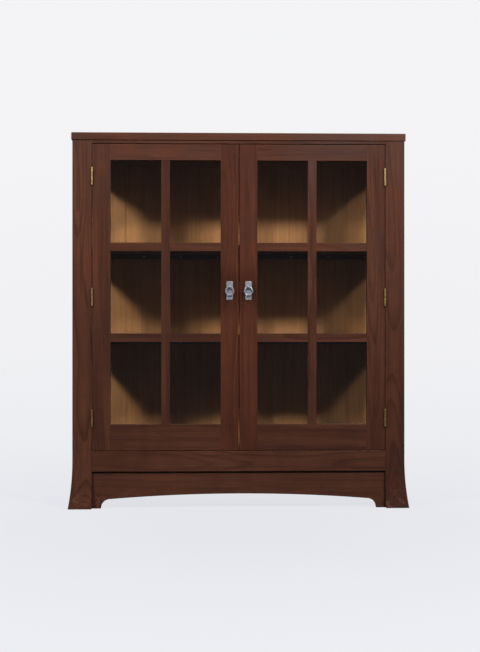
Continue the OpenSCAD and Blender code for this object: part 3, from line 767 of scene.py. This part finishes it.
INNER_PIECES = {
    "back_top_rail": Timber(X, 1, 0.60, 1.0, stained=False),
    "back_bottom_rail": Timber(X, 1, 0.62, 1.0, stained=False),
    "back_boards": Timber(Z, 8, 0.42, 0.6, knots=1.0, stained=False),
    "bottom_cleats": Timber(X, 1, 0.60, 1.0, stained=False),
    "bottom_board": Timber(X, 3, 0.45, 1.0),
    "lower_shelf": Timber(X, 3, 0.50, 1.2),
    "upper_shelf": Timber(X, 3, 0.44, 1.2),
    "shelf_bearers": Timber(X, 1, 0.55, 1.0),
}
DOOR_PIECES = {
    "hinge_stile": Timber(Z, 1, 0.50, 1.2),
    "meeting_stile": Timber(Z, 1, 0.40, 1.2, tint=RED),
    "top_rail": Timber(X, 1, 0.44, 1.2),
    "bottom_rail": Timber(X, 1, 0.48, 1.2),
    "upright_muntin": Timber(Z, 1, 0.52, 1.0),
    "upper_muntin": Timber(X, 1, 0.48, 1.0),
    "lower_muntin": Timber(X, 1, 0.55, 1.0),
    "beads": Timber(Z, 1, 0.60, 0.8),
}
PULL_HEIGHT = 812 * MM


def make_timber(pieces, first_seed, prefix=""):
    """Finishes every piece of a table."""
    need_groups()
    for seed, (part, timber) in enumerate(pieces.items(), first_seed):
        node = prefix + part
        low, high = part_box(node)
        spot = ((low.x + high.x) / 2, low.y, PULL_HEIGHT) if part == "meeting_stile" else None
        kind = "outer_wood" if timber.stained else "inner_wood"
        finish = timber_finish(f"{kind}_{node}", (low, high), timber, seed, spot)
        dress(node, finish, timber.arris * MM)


class CABINET_OT_case(bpy.types.Operator):
    """Finish the top, posts, rails, side frames and toe board"""

    bl_idname = "cabinet.case"
    bl_label = "Finish the case"

    def execute(self, context):
        make_timber(CASE_PIECES, 11)
        return {"FINISHED"}


class CABINET_OT_inside(bpy.types.Operator):
    """Finish the shelves, bearers, bottom board, back boards and cleats"""

    bl_idname = "cabinet.inside"
    bl_label = "Finish the inside"

    def execute(self, context):
        make_timber(INNER_PIECES, 41)
        return {"FINISHED"}


class CABINET_OT_doors(bpy.types.Operator):
    """Finish the stiles, rails, muntins and beads of both doors"""

    bl_idname = "cabinet.doors"
    bl_label = "Finish the doors"

    def execute(self, context):
        for side, first_seed in zip(SIDES, (71, 91)):
            make_timber(DOOR_PIECES, first_seed, f"{side}_door_")
        return {"FINISHED"}


class CABINET_OT_glass(bpy.types.Operator):
    """Put old window glass in the doors and the sides"""

    bl_idname = "cabinet.glass"
    bl_label = "Glaze the doors and sides"

    def execute(self, context):
        need_groups()
        finish = glass_finish()
        for side in SIDES:
            for where in ("door", "side"):
                dress(f"{side}_{where}_glass", finish, GLASS_EDGE, 1)
        return {"FINISHED"}


class CABINET_OT_hinges(bpy.types.Operator):
    """Give the hinge leaves and pins their aged brass"""

    bl_idname = "cabinet.hinges"
    bl_label = "Finish the hinges"

    def execute(self, context):
        need_metals()
        leaves = [f"{where}_hinge_leaves" for where in ("case", "left_door", "right_door")]
        for node in (*leaves, "hinge_pins"):
            dress_metal(node, "brass")
        return {"FINISHED"}


# Meshes

TOUCH, END = 0.0001 * MM, 0.1 * MM


def finished(work, name, outward=False):
    """Makes a bmesh into a mesh and frees it; outward turns its faces outwards first."""
    if outward:
        bmesh.ops.recalc_face_normals(work, faces=work.faces)
    mesh = bpy.data.meshes.new(name)
    work.to_mesh(mesh)
    work.free()
    return mesh


def circle(work, radius, height, steps):
    """Corners of a level circle about Z."""
    angles = [2 * math.pi * k / steps for k in range(steps)]
    return [work.verts.new((radius * math.cos(a), radius * math.sin(a), height)) for a in angles]


def join_rows(work, rows, closed=True):
    """Faces from each row of corners to the next; a row of a single corner closes to a point."""
    for one, two in zip(rows, rows[1:]):
        count = max(len(one), len(two))
        for k in range(count if closed else count - 1):
            n = (k + 1) % count
            corners = [one[k % len(one)], one[n % len(one)], two[n % len(two)], two[k % len(two)]]
            work.faces.new([v for j, v in enumerate(corners) if v not in corners[:j]])


def turned(profile, steps):
    """A closed turning about Z from (radius, height) points; its ends close on the axis."""
    work = bmesh.new()
    join_rows(
        work,
        [
            circle(work, radius, height, steps)
            if radius > TOUCH
            else [work.verts.new((0, 0, height))]
            for radius, height in profile
        ],
    )
    return finished(work, "turning", True)


def block(low, high):
    """A plain box mesh, to cut with or to be joined and rounded."""
    work = bmesh.new()
    bmesh.ops.create_cube(work, size=1.0)
    for v in work.verts:
        v.co = Vector([low[k] + (v.co[k] + 0.5) * (high[k] - low[k]) for k in range(3)])
    return finished(work, "block")


def cut_with(mesh, cutter):
    """The first mesh less the second, as a new mesh."""
    body, tool = in_scene("cut", mesh), in_scene("tool", cutter)
    cut = body.modifiers.new("Cut", "BOOLEAN")
    cut.operation, cut.solver, cut.object = "DIFFERENCE", "EXACT", tool
    ready = body.evaluated_get(bpy.context.evaluated_depsgraph_get())
    done = bpy.data.meshes.new_from_object(ready)
    for o in (body, tool):
        bpy.data.objects.remove(o)
    return done


def join_meshes(name, placed):
    """One mesh from (mesh, matrix) pairs."""
    work = bmesh.new()
    for mesh, matrix in placed:
        part = mesh.copy()
        part.transform(matrix)
        work.from_mesh(part)
        bpy.data.meshes.remove(part)
    return finished(work, name)


def box_of(points):
    """Lowest and highest corner of these points."""
    return [Vector([pick(p[k] for p in points) for k in range(3)]) for pick in (min, max)]


def loose_solids(node):
    """Corner points of each separate solid in a CAD node."""
    work = bmesh.new()
    work.from_mesh(NODES[node].data)
    bmesh.ops.remove_doubles(work, verts=work.verts, dist=WELD)
    left, found = set(work.verts), []
    while left:
        pile, island = [left.pop()], []
        while pile:
            v = pile.pop()
            island.append(v.co.copy())
            for e in v.link_edges:
                other = e.other_vert(v)
                if other in left:
                    left.remove(other)
                    pile.append(other)
        found.append(island)
    work.free()

    def corner(island):
        return tuple(round(c, 4) for c in min(island, key=lambda p: (p.x, p.y, p.z)))

    return sorted(found, key=corner)


# Screws

SHANK, SLOT_DEPTH = 1.6 * MM, 0.95 * MM
SCREW_STEPS, SINK_STEPS = 28, 32


def screw_places(node):
    """(middle of its face, way it is driven, length, head radius) of each screw in a CAD node."""
    places = []
    for points in loose_solids(node):
        low, high = box_of(points)
        axis = max(range(3), key=lambda k: high[k] - low[k])
        middle = (low + high) / 2
        reach = []
        for end in (low, high):
            near = [p.copy() for p in points if abs(p[axis] - end[axis]) < END]
            for p in near:
                p[axis] = middle[axis]
            reach.append(max((p - middle).length for p in near))
        at_low = reach[0] > reach[1]
        face = middle.copy()
        face[axis] = low[axis] if at_low else high[axis]
        way = Vector((0, 0, 0))
        way[axis] = 1 if at_low else -1
        places.append((face, way, high[axis] - low[axis], max(reach)))
    return places


def slotted_screw(long, head, shank, slot):
    """A countersunk screw, driven along +Z, with a slot across its crowned face at z = 0."""
    rim = head - 0.15 * MM
    profile = [
        (0, 0),
        (rim * 0.55, 0.03 * MM),
        (rim, 0.12 * MM),
        (head, 0.3 * MM),
        (shank, 1.8 * MM),
        (shank, long - 2.5 * MM),
        (shank * 0.25, long - 0.2 * MM),
        (0, long),
    ]
    reach = head * 1.2
    groove = block((-reach, -slot / 2, -MM), (reach, slot / 2, SLOT_DEPTH))
    return cut_with(turned(profile, SCREW_STEPS), groove)


def aimed(way):
    """The turn that takes +Z to this direction."""
    return way.to_track_quat("Z", "Y").to_matrix().to_4x4()


def countersink(head):
    """Profile of the hole that a plate has for a screw with this head radius."""
    rim, bore = head + 0.25 * MM, 1.7 * MM
    return [
        (0, -3 * MM),
        (rim, -3 * MM),
        (rim, 0.35 * MM),
        (head, 0.4 * MM),
        (bore, 1.9 * MM),
        (bore, 4 * MM),
        (0, 4 * MM),
    ]


def drive(name, places, node, finish, turn):
    """Screws at these places, each with its slot at its own angle."""
    width = bpy.context.scene.cabinet_metals.slot_width
    templates, placed = {}, []
    for face, way, long, head in places:
        key = (round(long, 5), round(head, 5))
        if key not in templates:
            templates[key] = slotted_screw(long, head, SHANK, width)
        spin = Matrix.Rotation(turn.uniform(0, math.pi), 4, "Z")
        placed.append((templates[key], Matrix.Translation(face) @ aimed(way) @ spin))
    add_piece(name, join_meshes(name, placed), node, finish)


class CABINET_OT_screws(bpy.types.Operator):
    """Drive slotted screws through the hinges, cleats, top rails and pull plates"""

    bl_idname = "cabinet.screws"
    bl_label = "Drive the screws"

    def execute(self, context):
        need_metals()
        turn = random.Random(context.scene.cabinet_metals.seed)
        for node, finish in (
            ("case_hinge_screws", "brass"),
            ("cleat_screws", "steel"),
            ("top_screws", "steel"),
        ):
            drive(node + "_slotted", screw_places(node), node, finish, turn)
        for side in SIDES:
            node = f"{side}_door_screws"
            places = screw_places(node)
            plate = [p for p in places if abs(p[1].y) > 0.5]
            leaf = [p for p in places if abs(p[1].y) < 0.5]
            drive(f"{side}_door_hinge_screws", leaf, node, "brass", turn)
            drive(f"{side}_plate_screws", plate, node, "pewter", turn)
        return {"FINISHED"}


# Pulls

PLATE_THICK, PLATE_CORNER, PLATE_RIM, RIM_FALL = 2.0 * MM, 4.0 * MM, 1.3 * MM, 0.8 * MM
PLATE_ROWS, PLATE_COLUMNS = 100, 36
EYE_ROOT, EYE_WALL, EYE_HALF, EYE_STEPS = 1.7 * MM, 2.0 * MM, 3.0 * MM, 40
RING_AROUND, RING_ACROSS, RING_MARKS = 120, 24, 150
MARK_WIDTH, MARK_DEPTH = 1.7 * MM, 0.10 * MM
MARK_TRIES = 4000
PULL_EDGE = 0.3 * MM


def dents(luck, low, high, spacing):
    """Places of hammer marks over a rectangle, each kept apart from the others."""
    places = []
    for _ in range(MARK_TRIES):
        p = (luck.uniform(low[0], high[0]), luck.uniform(low[1], high[1]))
        if all((p[0] - q[0]) ** 2 + (p[1] - q[1]) ** 2 > spacing**2 for q in places):
            places.append(p)
    return places


def hammered_plate(box, luck):
    """A plate with rounded corners, a softened rim and hammer marks over its face."""
    m = bpy.context.scene.cabinet_metals
    low, high = box
    half_w, half_h = (high.x - low.x) / 2, (high.z - low.z) / 2
    cx, cz, back = (high.x + low.x) / 2, (high.z + low.z) / 2, high.y
    marks = dents(luck, (-half_w, -half_h), (half_w, half_h), m.dent_width * 1.25)
    work, grid = bmesh.new(), []

    def half_width(v):
        """The plate's half width at height v, less at its rounded corners."""
        into = PLATE_CORNER - (half_h - abs(v))
        if into <= 0:
            return half_w
        return half_w - PLATE_CORNER + math.sqrt(max(PLATE_CORNER**2 - into**2, 0.0))

    for r in range(PLATE_ROWS + 1):
        v = -half_h + 2 * half_h * r / PLATE_ROWS
        w = half_width(v)
        line = []
        for c in range(PLATE_COLUMNS + 1):
            u = -w + 2 * w * c / PLATE_COLUMNS
            rim = min(w - abs(u), half_h - abs(v))
            fall = 0.0 if rim >= PLATE_RIM else RIM_FALL * (1 - rim / PLATE_RIM) ** 2
            dent = 0.0
            for du, dv in marks:
                away = ((u - du) ** 2 + (v - dv) ** 2) / m.dent_width**2
                if away < 1:
                    dent = max(dent, m.dent_depth * (1 - away) ** 1.3)
            line.append(work.verts.new((cx + u, back - PLATE_THICK + fall + dent, cz + v)))
        grid.append(line)
    join_rows(work, grid, False)
    right, left = [line[-1] for line in grid[1:]], [line[0] for line in grid[-2:0:-1]]
    loop = grid[0] + right + grid[-1][-2::-1] + left
    rear = [work.verts.new((v.co.x, back, v.co.z)) for v in loop]
    for k in range(len(loop)):
        n = (k + 1) % len(loop)
        work.faces.new((loop[k], rear[k], rear[n], loop[n]))
    work.faces.new(rear[::-1])
    return finished(work, "plate", True)


def ring_eye(axis_y, axis_z, face_y, cx, hole, outer, half):
    """A lug that stands off the plate and ends in a round head with a hole across it."""
    work, outline = bmesh.new(), []
    for k in range(EYE_STEPS + 1):
        a = math.radians(90) + math.pi * k / EYE_STEPS
        outline.append((axis_y + outer * math.cos(a), axis_z + outer * math.sin(a)))
    outline += [(face_y, axis_z - outer * 1.15), (face_y, axis_z + outer * 1.15)]
    inner = []
    for p in outline:
        a = math.atan2(p[1] - axis_z, p[0] - axis_y)
        inner.append((axis_y + hole * math.cos(a), axis_z + hole * math.sin(a)))
    sides = []
    for x in (cx - half, cx + half):
        sides.append([[work.verts.new((x, *p)) for p in line] for line in (outline, inner)])
    n = len(outline)
    for k in range(n):
        j = (k + 1) % n
        (lo, li), (ro, ri) = sides
        work.faces.new((lo[k], lo[j], li[j], li[k]))
        work.faces.new((ro[k], ri[k], ri[j], ro[j]))
        work.faces.new((lo[k], ro[k], ro[j], lo[j]))
        work.faces.new((li[k], li[j], ri[j], ri[k]))
    return finished(work, "eye", True)


def hammered_ring(box, luck):
    """A ring of round wire, hammered to small flats, a little thinner where it hangs."""
    low, high = box
    wire = (high.y - low.y) / 2
    radius = (high.x - low.x) / 2 - wire
    cx, cy, cz = ((low[k] + high[k]) / 2 for k in range(3))
    work, loops, full = bmesh.new(), [], 2 * math.pi
    marks = [(luck.uniform(0, full), luck.uniform(0, full)) for _ in range(RING_MARKS)]
    for k in range(RING_AROUND):
        a = full * k / RING_AROUND
        top = max(0.0, math.cos(a - math.pi / 2))
        loop = []
        for j in range(RING_ACROSS):
            b = full * j / RING_ACROSS
            r = wire * (1 - 0.10 * top**4)
            for ma, mb in marks:
                da = math.remainder(a - ma, full) * radius
                db = math.remainder(b - mb, full) * wire
                away = (da * da + db * db) / MARK_WIDTH**2
                if away < 1 and top < 0.93:
                    r -= MARK_DEPTH * (1 - away)
            out = radius + r * math.cos(b)
            corner = (cx + out * math.cos(a), cy + r * math.sin(b), cz + out * math.sin(a))
            loop.append(work.verts.new(corner))
        loops.append(loop)
    join_rows(work, loops + loops[:1])
    mesh = finished(work, "ring", True)
    for face in mesh.polygons:
        face.use_smooth = True
    return mesh


class CABINET_OT_pulls(bpy.types.Operator):
    """Make the hammered plates with their eyes, and the rings that hang in them"""

    bl_idname = "cabinet.pulls"
    bl_label = "Make the pulls"

    def execute(self, context):
        need_metals()
        luck = random.Random(context.scene.cabinet_metals.seed + 1)
        for side in SIDES:
            plate_node, ring_node = f"{side}_pull_plate", f"{side}_pull_ring"
            low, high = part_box(plate_node)
            ring_low, ring_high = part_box(ring_node)
            wire = (ring_high.y - ring_low.y) / 2
            axis_y = (ring_high.y + ring_low.y) / 2
            axis_z = ring_high.z - wire
            cx, root = (low.x + high.x) / 2, high.y - EYE_ROOT
            outer = axis_y - low.y
            plate = hammered_plate((low, high), luck)
            eye = ring_eye(axis_y, axis_z, root, cx, outer - EYE_WALL, outer, EYE_HALF)
            for place, way, _, head in screw_places(f"{side}_door_screws"):
                if abs(way.y) > 0.5:
                    sink = turned(countersink(head), SINK_STEPS)
                    sink.transform(Matrix.Translation(place) @ aimed(way))
                    plate = cut_with(plate, sink)
            whole = join_meshes(plate_node, [(plate, Matrix()), (eye, Matrix())])
            piece = add_piece(f"{side}_hammered_plate", whole, plate_node, "pewter")
            bevel = piece.modifiers.new("Edges", "BEVEL")
            bevel.width, bevel.segments, bevel.angle_limit = PULL_EDGE, 2, math.radians(45)
            ring = hammered_ring((ring_low, ring_high), luck)
            add_piece(f"{side}_hammered_ring", ring, ring_node, "pewter")
        return {"FINISHED"}


# Catches

SHELL_BACK, POLE_DEEP, MAGNET_BACK = 0.9 * MM, 4 * MM, 0.5 * MM
CATCH_DROP, POLE_APART, POLE_HALF, MAGNET_HALF = 1.5 * MM, 2.6 * MM, 0.6 * MM, 1.8 * MM
POLE_END, MAGNET_END = 4 * MM, 5 * MM


class CABINET_OT_catches(bpy.types.Operator):
    """Make the magnetic catches over the doors and finish the strike plates"""

    bl_idname = "cabinet.catches"
    bl_label = "Make the catches"

    def execute(self, context):
        need_metals()
        shells, poles, cores = [], [], []
        for points in loose_solids("magnetic_catches"):
            low, high = box_of(points)
            face, mid = low.y + SHELL_BACK, (low.z + high.z) / 2 - CATCH_DROP
            deep = face + POLE_DEEP
            shells.append(block((low.x, face, low.z), high))
            for z in (mid - POLE_APART, mid + POLE_APART):
                start = (low.x + POLE_END, low.y, z - POLE_HALF)
                poles.append(block(start, (high.x - POLE_END, deep, z + POLE_HALF)))
            start = (low.x + MAGNET_END, low.y + MAGNET_BACK, mid - MAGNET_HALF)
            cores.append(block(start, (high.x - MAGNET_END, deep, mid + MAGNET_HALF)))
        for name, parts, finish, radius in (
            ("catch_shells", shells, "enamel", 1.6),
            ("catch_poles", poles, "steel", 0.2),
            ("catch_magnets", cores, "magnet", 0.3),
        ):
            mesh = join_meshes(name, [(part, Matrix()) for part in parts])
            piece = add_piece(name, mesh, "magnetic_catches", finish)
            round_edges(piece, radius * MM)
        for side in SIDES:
            dress_metal(f"{side}_door_strike", "steel")
        return {"FINISHED"}


# Stage


def srgb(*values):
    """A linear colour from 0 to 255 display values."""
    linear = [v / 255 / 12.92 if v <= 10.3 else ((v / 255 + 0.055) / 1.055) ** 2.4 for v in values]
    return (*linear, 1.0)


FLOOR_STOPS = (
    (0.05, (218, 219, 224)),
    (0.16, (221, 222, 227)),
    (0.38, (231.5, 232.5, 236.5)),
    (0.60, (236, 236.5, 239.5)),
    (1.0, (238.5, 238.5, 241)),
)
FLOOR_MIDDLE = (0.0, -1.0, 0.0)
FLOOR_RINGS, FLOOR_STEPS = (1.0, 2.5, 5.0, 10.0, 20.0, 45.0, 90.0), 96
FLOOR_LIT, FLOOR_BOUNCE = 0.07, 0.03
FLOOR_IN_GLOSS = 0.06
LAMP_SHADE, LAMP_AIM = (1.0, 0.985, 0.96), 0.75
BACKDROP = (241, 241, 243.5), (243.5, 243.5, 245.5)
ROOM_LIGHT, ROOM_IN_GLOSS = (0.004, 0.85), (0.07, 0.60)
OVERHEAD = 0.4
SENSOR = 36.0


def grey(level):
    return (level, level, level * 1.04, 1.0)


def seen_rays(w):
    """1 for rays that show the floor or backdrop itself, and 1 for rays that mirror it."""
    path = w.node("ShaderNodeLightPath").outputs
    turned_back = w.math("MINIMUM", w.math("ADD", path["Glossy Depth"], path["Diffuse Depth"]), 1.0)
    through = path["Is Transmission Ray"]
    straight = w.times(through, w.inverse(turned_back))
    mirrored = w.math("MAXIMUM", path["Is Glossy Ray"], w.times(through, turned_back))
    return w.math("MAXIMUM", path["Is Camera Ray"], straight), mirrored


def pale_floor():
    """A very large pale floor whose colour fades into the backdrop far away."""
    work = bmesh.new()
    loops = [circle(work, radius, 0, FLOOR_STEPS) for radius in FLOOR_RINGS]
    work.faces.new(loops[0])
    join_rows(work, loops[::-1])
    mesh = finished(work, "floor")
    floor = in_scene("floor", mesh)
    made = bpy.data.materials.new("pale_floor")
    w = empty_tree(made)
    away = w.vector("DISTANCE", w.node("ShaderNodeTexCoord").outputs["Object"], FLOOR_MIDDLE)
    far = w.math("DIVIDE", w.math("LOGARITHM", w.math("ADD", away, 1.0), 10.0), 1.7)
    ramp = w.node("ShaderNodeValToRGB", {0: far})
    stops = ramp.color_ramp.elements
    for k, (at, shade) in enumerate(FLOOR_STOPS):
        stop = stops[k] if k < 2 else stops.new(at)
        stop.position, stop.color = at, srgb(*shade)
    shown, mirrored = seen_rays(w)
    strength = w.math("MULTIPLY_ADD", mirrored, FLOOR_IN_GLOSS, shown)
    glow = w.node("ShaderNodeEmission", {0: ramp.outputs[0], 1: strength})
    bouncing = w.node("ShaderNodeLightPath").outputs["Is Diffuse Ray"]
    plain = w.mix(bouncing, grey(FLOOR_LIT), grey(FLOOR_BOUNCE))
    lit = w.node("ShaderNodeBsdfDiffuse", {0: plain})
    both = w.node("ShaderNodeAddShader", {0: glow.outputs[0], 1: lit.outputs[0]})
    w.node("ShaderNodeOutputMaterial", {0: both.outputs[0]})
    mesh.materials.append(made)


def studio_world():
    """A pale room that lights the back and the sides, and is dim behind the camera."""
    world = bpy.data.worlds.new("studio")
    bpy.context.scene.world = world
    w = empty_tree(world)
    _, y, z = w.split(w.node("ShaderNodeTexCoord").outputs["Generated"])
    shown, mirrored = seen_rays(w)
    backdrop = w.mix(w.span(z, -0.01, 0.16), *(srgb(*shade) for shade in BACKDROP))
    from_behind = w.span(y, 0.0, 0.6)
    overhead = w.times(w.span(z, 0.75, 1.0), OVERHEAD)
    level = w.math("MAXIMUM", from_behind, overhead)
    light = w.span(level, 0.0, 1.0, *ROOM_LIGHT, "LINEAR")
    in_gloss = w.math("MAXIMUM", w.span(y, -0.5, 0.4), overhead)
    gloss = w.span(in_gloss, 0.0, 1.0, *ROOM_IN_GLOSS, "LINEAR")
    strength = w.mix(mirrored, light, gloss)
    strength = w.mix(shown, strength, (1.0, 1.0, 1.0, 1.0))
    back = w.node("ShaderNodeBackground", {0: backdrop, 1: strength})
    w.node("ShaderNodeOutputWorld", {0: back.outputs[0]})


def hang_lamp(name, where, size, watts):
    """A square lamp that faces the middle of the cabinet's front."""
    lamp = bpy.data.lights.new(name, "AREA")
    lamp.shape, lamp.size, lamp.energy, lamp.color = "SQUARE", size, watts, LAMP_SHADE
    hung = in_scene(name, lamp)
    hung.location = where
    aim = Vector((0.0, cad_low.y, LAMP_AIM)) - hung.location
    hung.rotation_euler = aim.to_track_quat("-Z", "Y").to_euler()


class CABINET_OT_stage(bpy.types.Operator):
    """Set up the pale floor, the studio light and the camera"""

    bl_idname = "cabinet.stage"
    bl_label = "Set the stage"

    def execute(self, context):
        s = context.scene.cabinet_stage
        pale_floor()
        studio_world()
        for name in ("left", "right", "far"):
            where, watts = getattr(s, name + "_place"), getattr(s, name + "_power")
            hang_lamp(name, where, s.lamp_size, watts)
        eye = bpy.data.cameras.new("camera")
        eye.sensor_fit, eye.lens = "VERTICAL", s.lens
        eye.sensor_height = eye.sensor_width = SENSOR
        camera = in_scene("camera", eye)
        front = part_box("left_door_hinge_stile")[0].y
        camera.location = (
            s.eye_aside + s.eye_distance * math.sin(s.eye_turn),
            front - s.eye_distance * math.cos(s.eye_turn),
            s.eye_height,
        )
        camera.rotation_euler = (math.pi / 2, 0.0, s.eye_turn)
        context.scene.camera = camera
        context.scene.view_settings.view_transform = "Standard"
        return {"FINISHED"}


# Panel and registration

OPERATORS = (
    CABINET_OT_case,
    CABINET_OT_inside,
    CABINET_OT_doors,
    CABINET_OT_glass,
    CABINET_OT_hinges,
    CABINET_OT_screws,
    CABINET_OT_pulls,
    CABINET_OT_catches,
    CABINET_OT_stage,
)
SETTINGS = {
    "cabinet_timber": CabinetTimber,
    "cabinet_metals": CabinetMetals,
    "cabinet_glazing": CabinetGlazing,
    "cabinet_stage": CabinetStage,
}


class CABINET_PT_panel(bpy.types.Panel):
    """Lists the settings and the steps of the china cabinet"""

    bl_label = "China cabinet"
    bl_idname = "CABINET_PT_panel"
    bl_space_type = "VIEW_3D"
    bl_region_type = "UI"
    bl_category = "Cabinet"

    def draw(self, context):
        for name, group in SETTINGS.items():
            box = self.layout.box()
            for prop in group.__annotations__:
                box.prop(getattr(context.scene, name), prop)
        for operator in OPERATORS:
            self.layout.operator(operator.bl_idname)


def register():
    for group in SETTINGS.values():
        bpy.utils.register_class(group)
    for operator in OPERATORS:
        bpy.utils.register_class(operator)
    bpy.utils.register_class(CABINET_PT_panel)
    for name, group in SETTINGS.items():
        setattr(bpy.types.Scene, name, PointerProperty(type=group))


def unregister():
    for name in SETTINGS:
        delattr(bpy.types.Scene, name)
    bpy.utils.unregister_class(CABINET_PT_panel)
    for operator in reversed(OPERATORS):
        bpy.utils.unregister_class(operator)
    for group in reversed(list(SETTINGS.values())):
        bpy.utils.unregister_class(group)


def main():
    register()
    for operator in OPERATORS:
        getattr(bpy.ops.cabinet, operator.bl_idname.split(".")[1])()


if __name__ == "__main__":
    main()
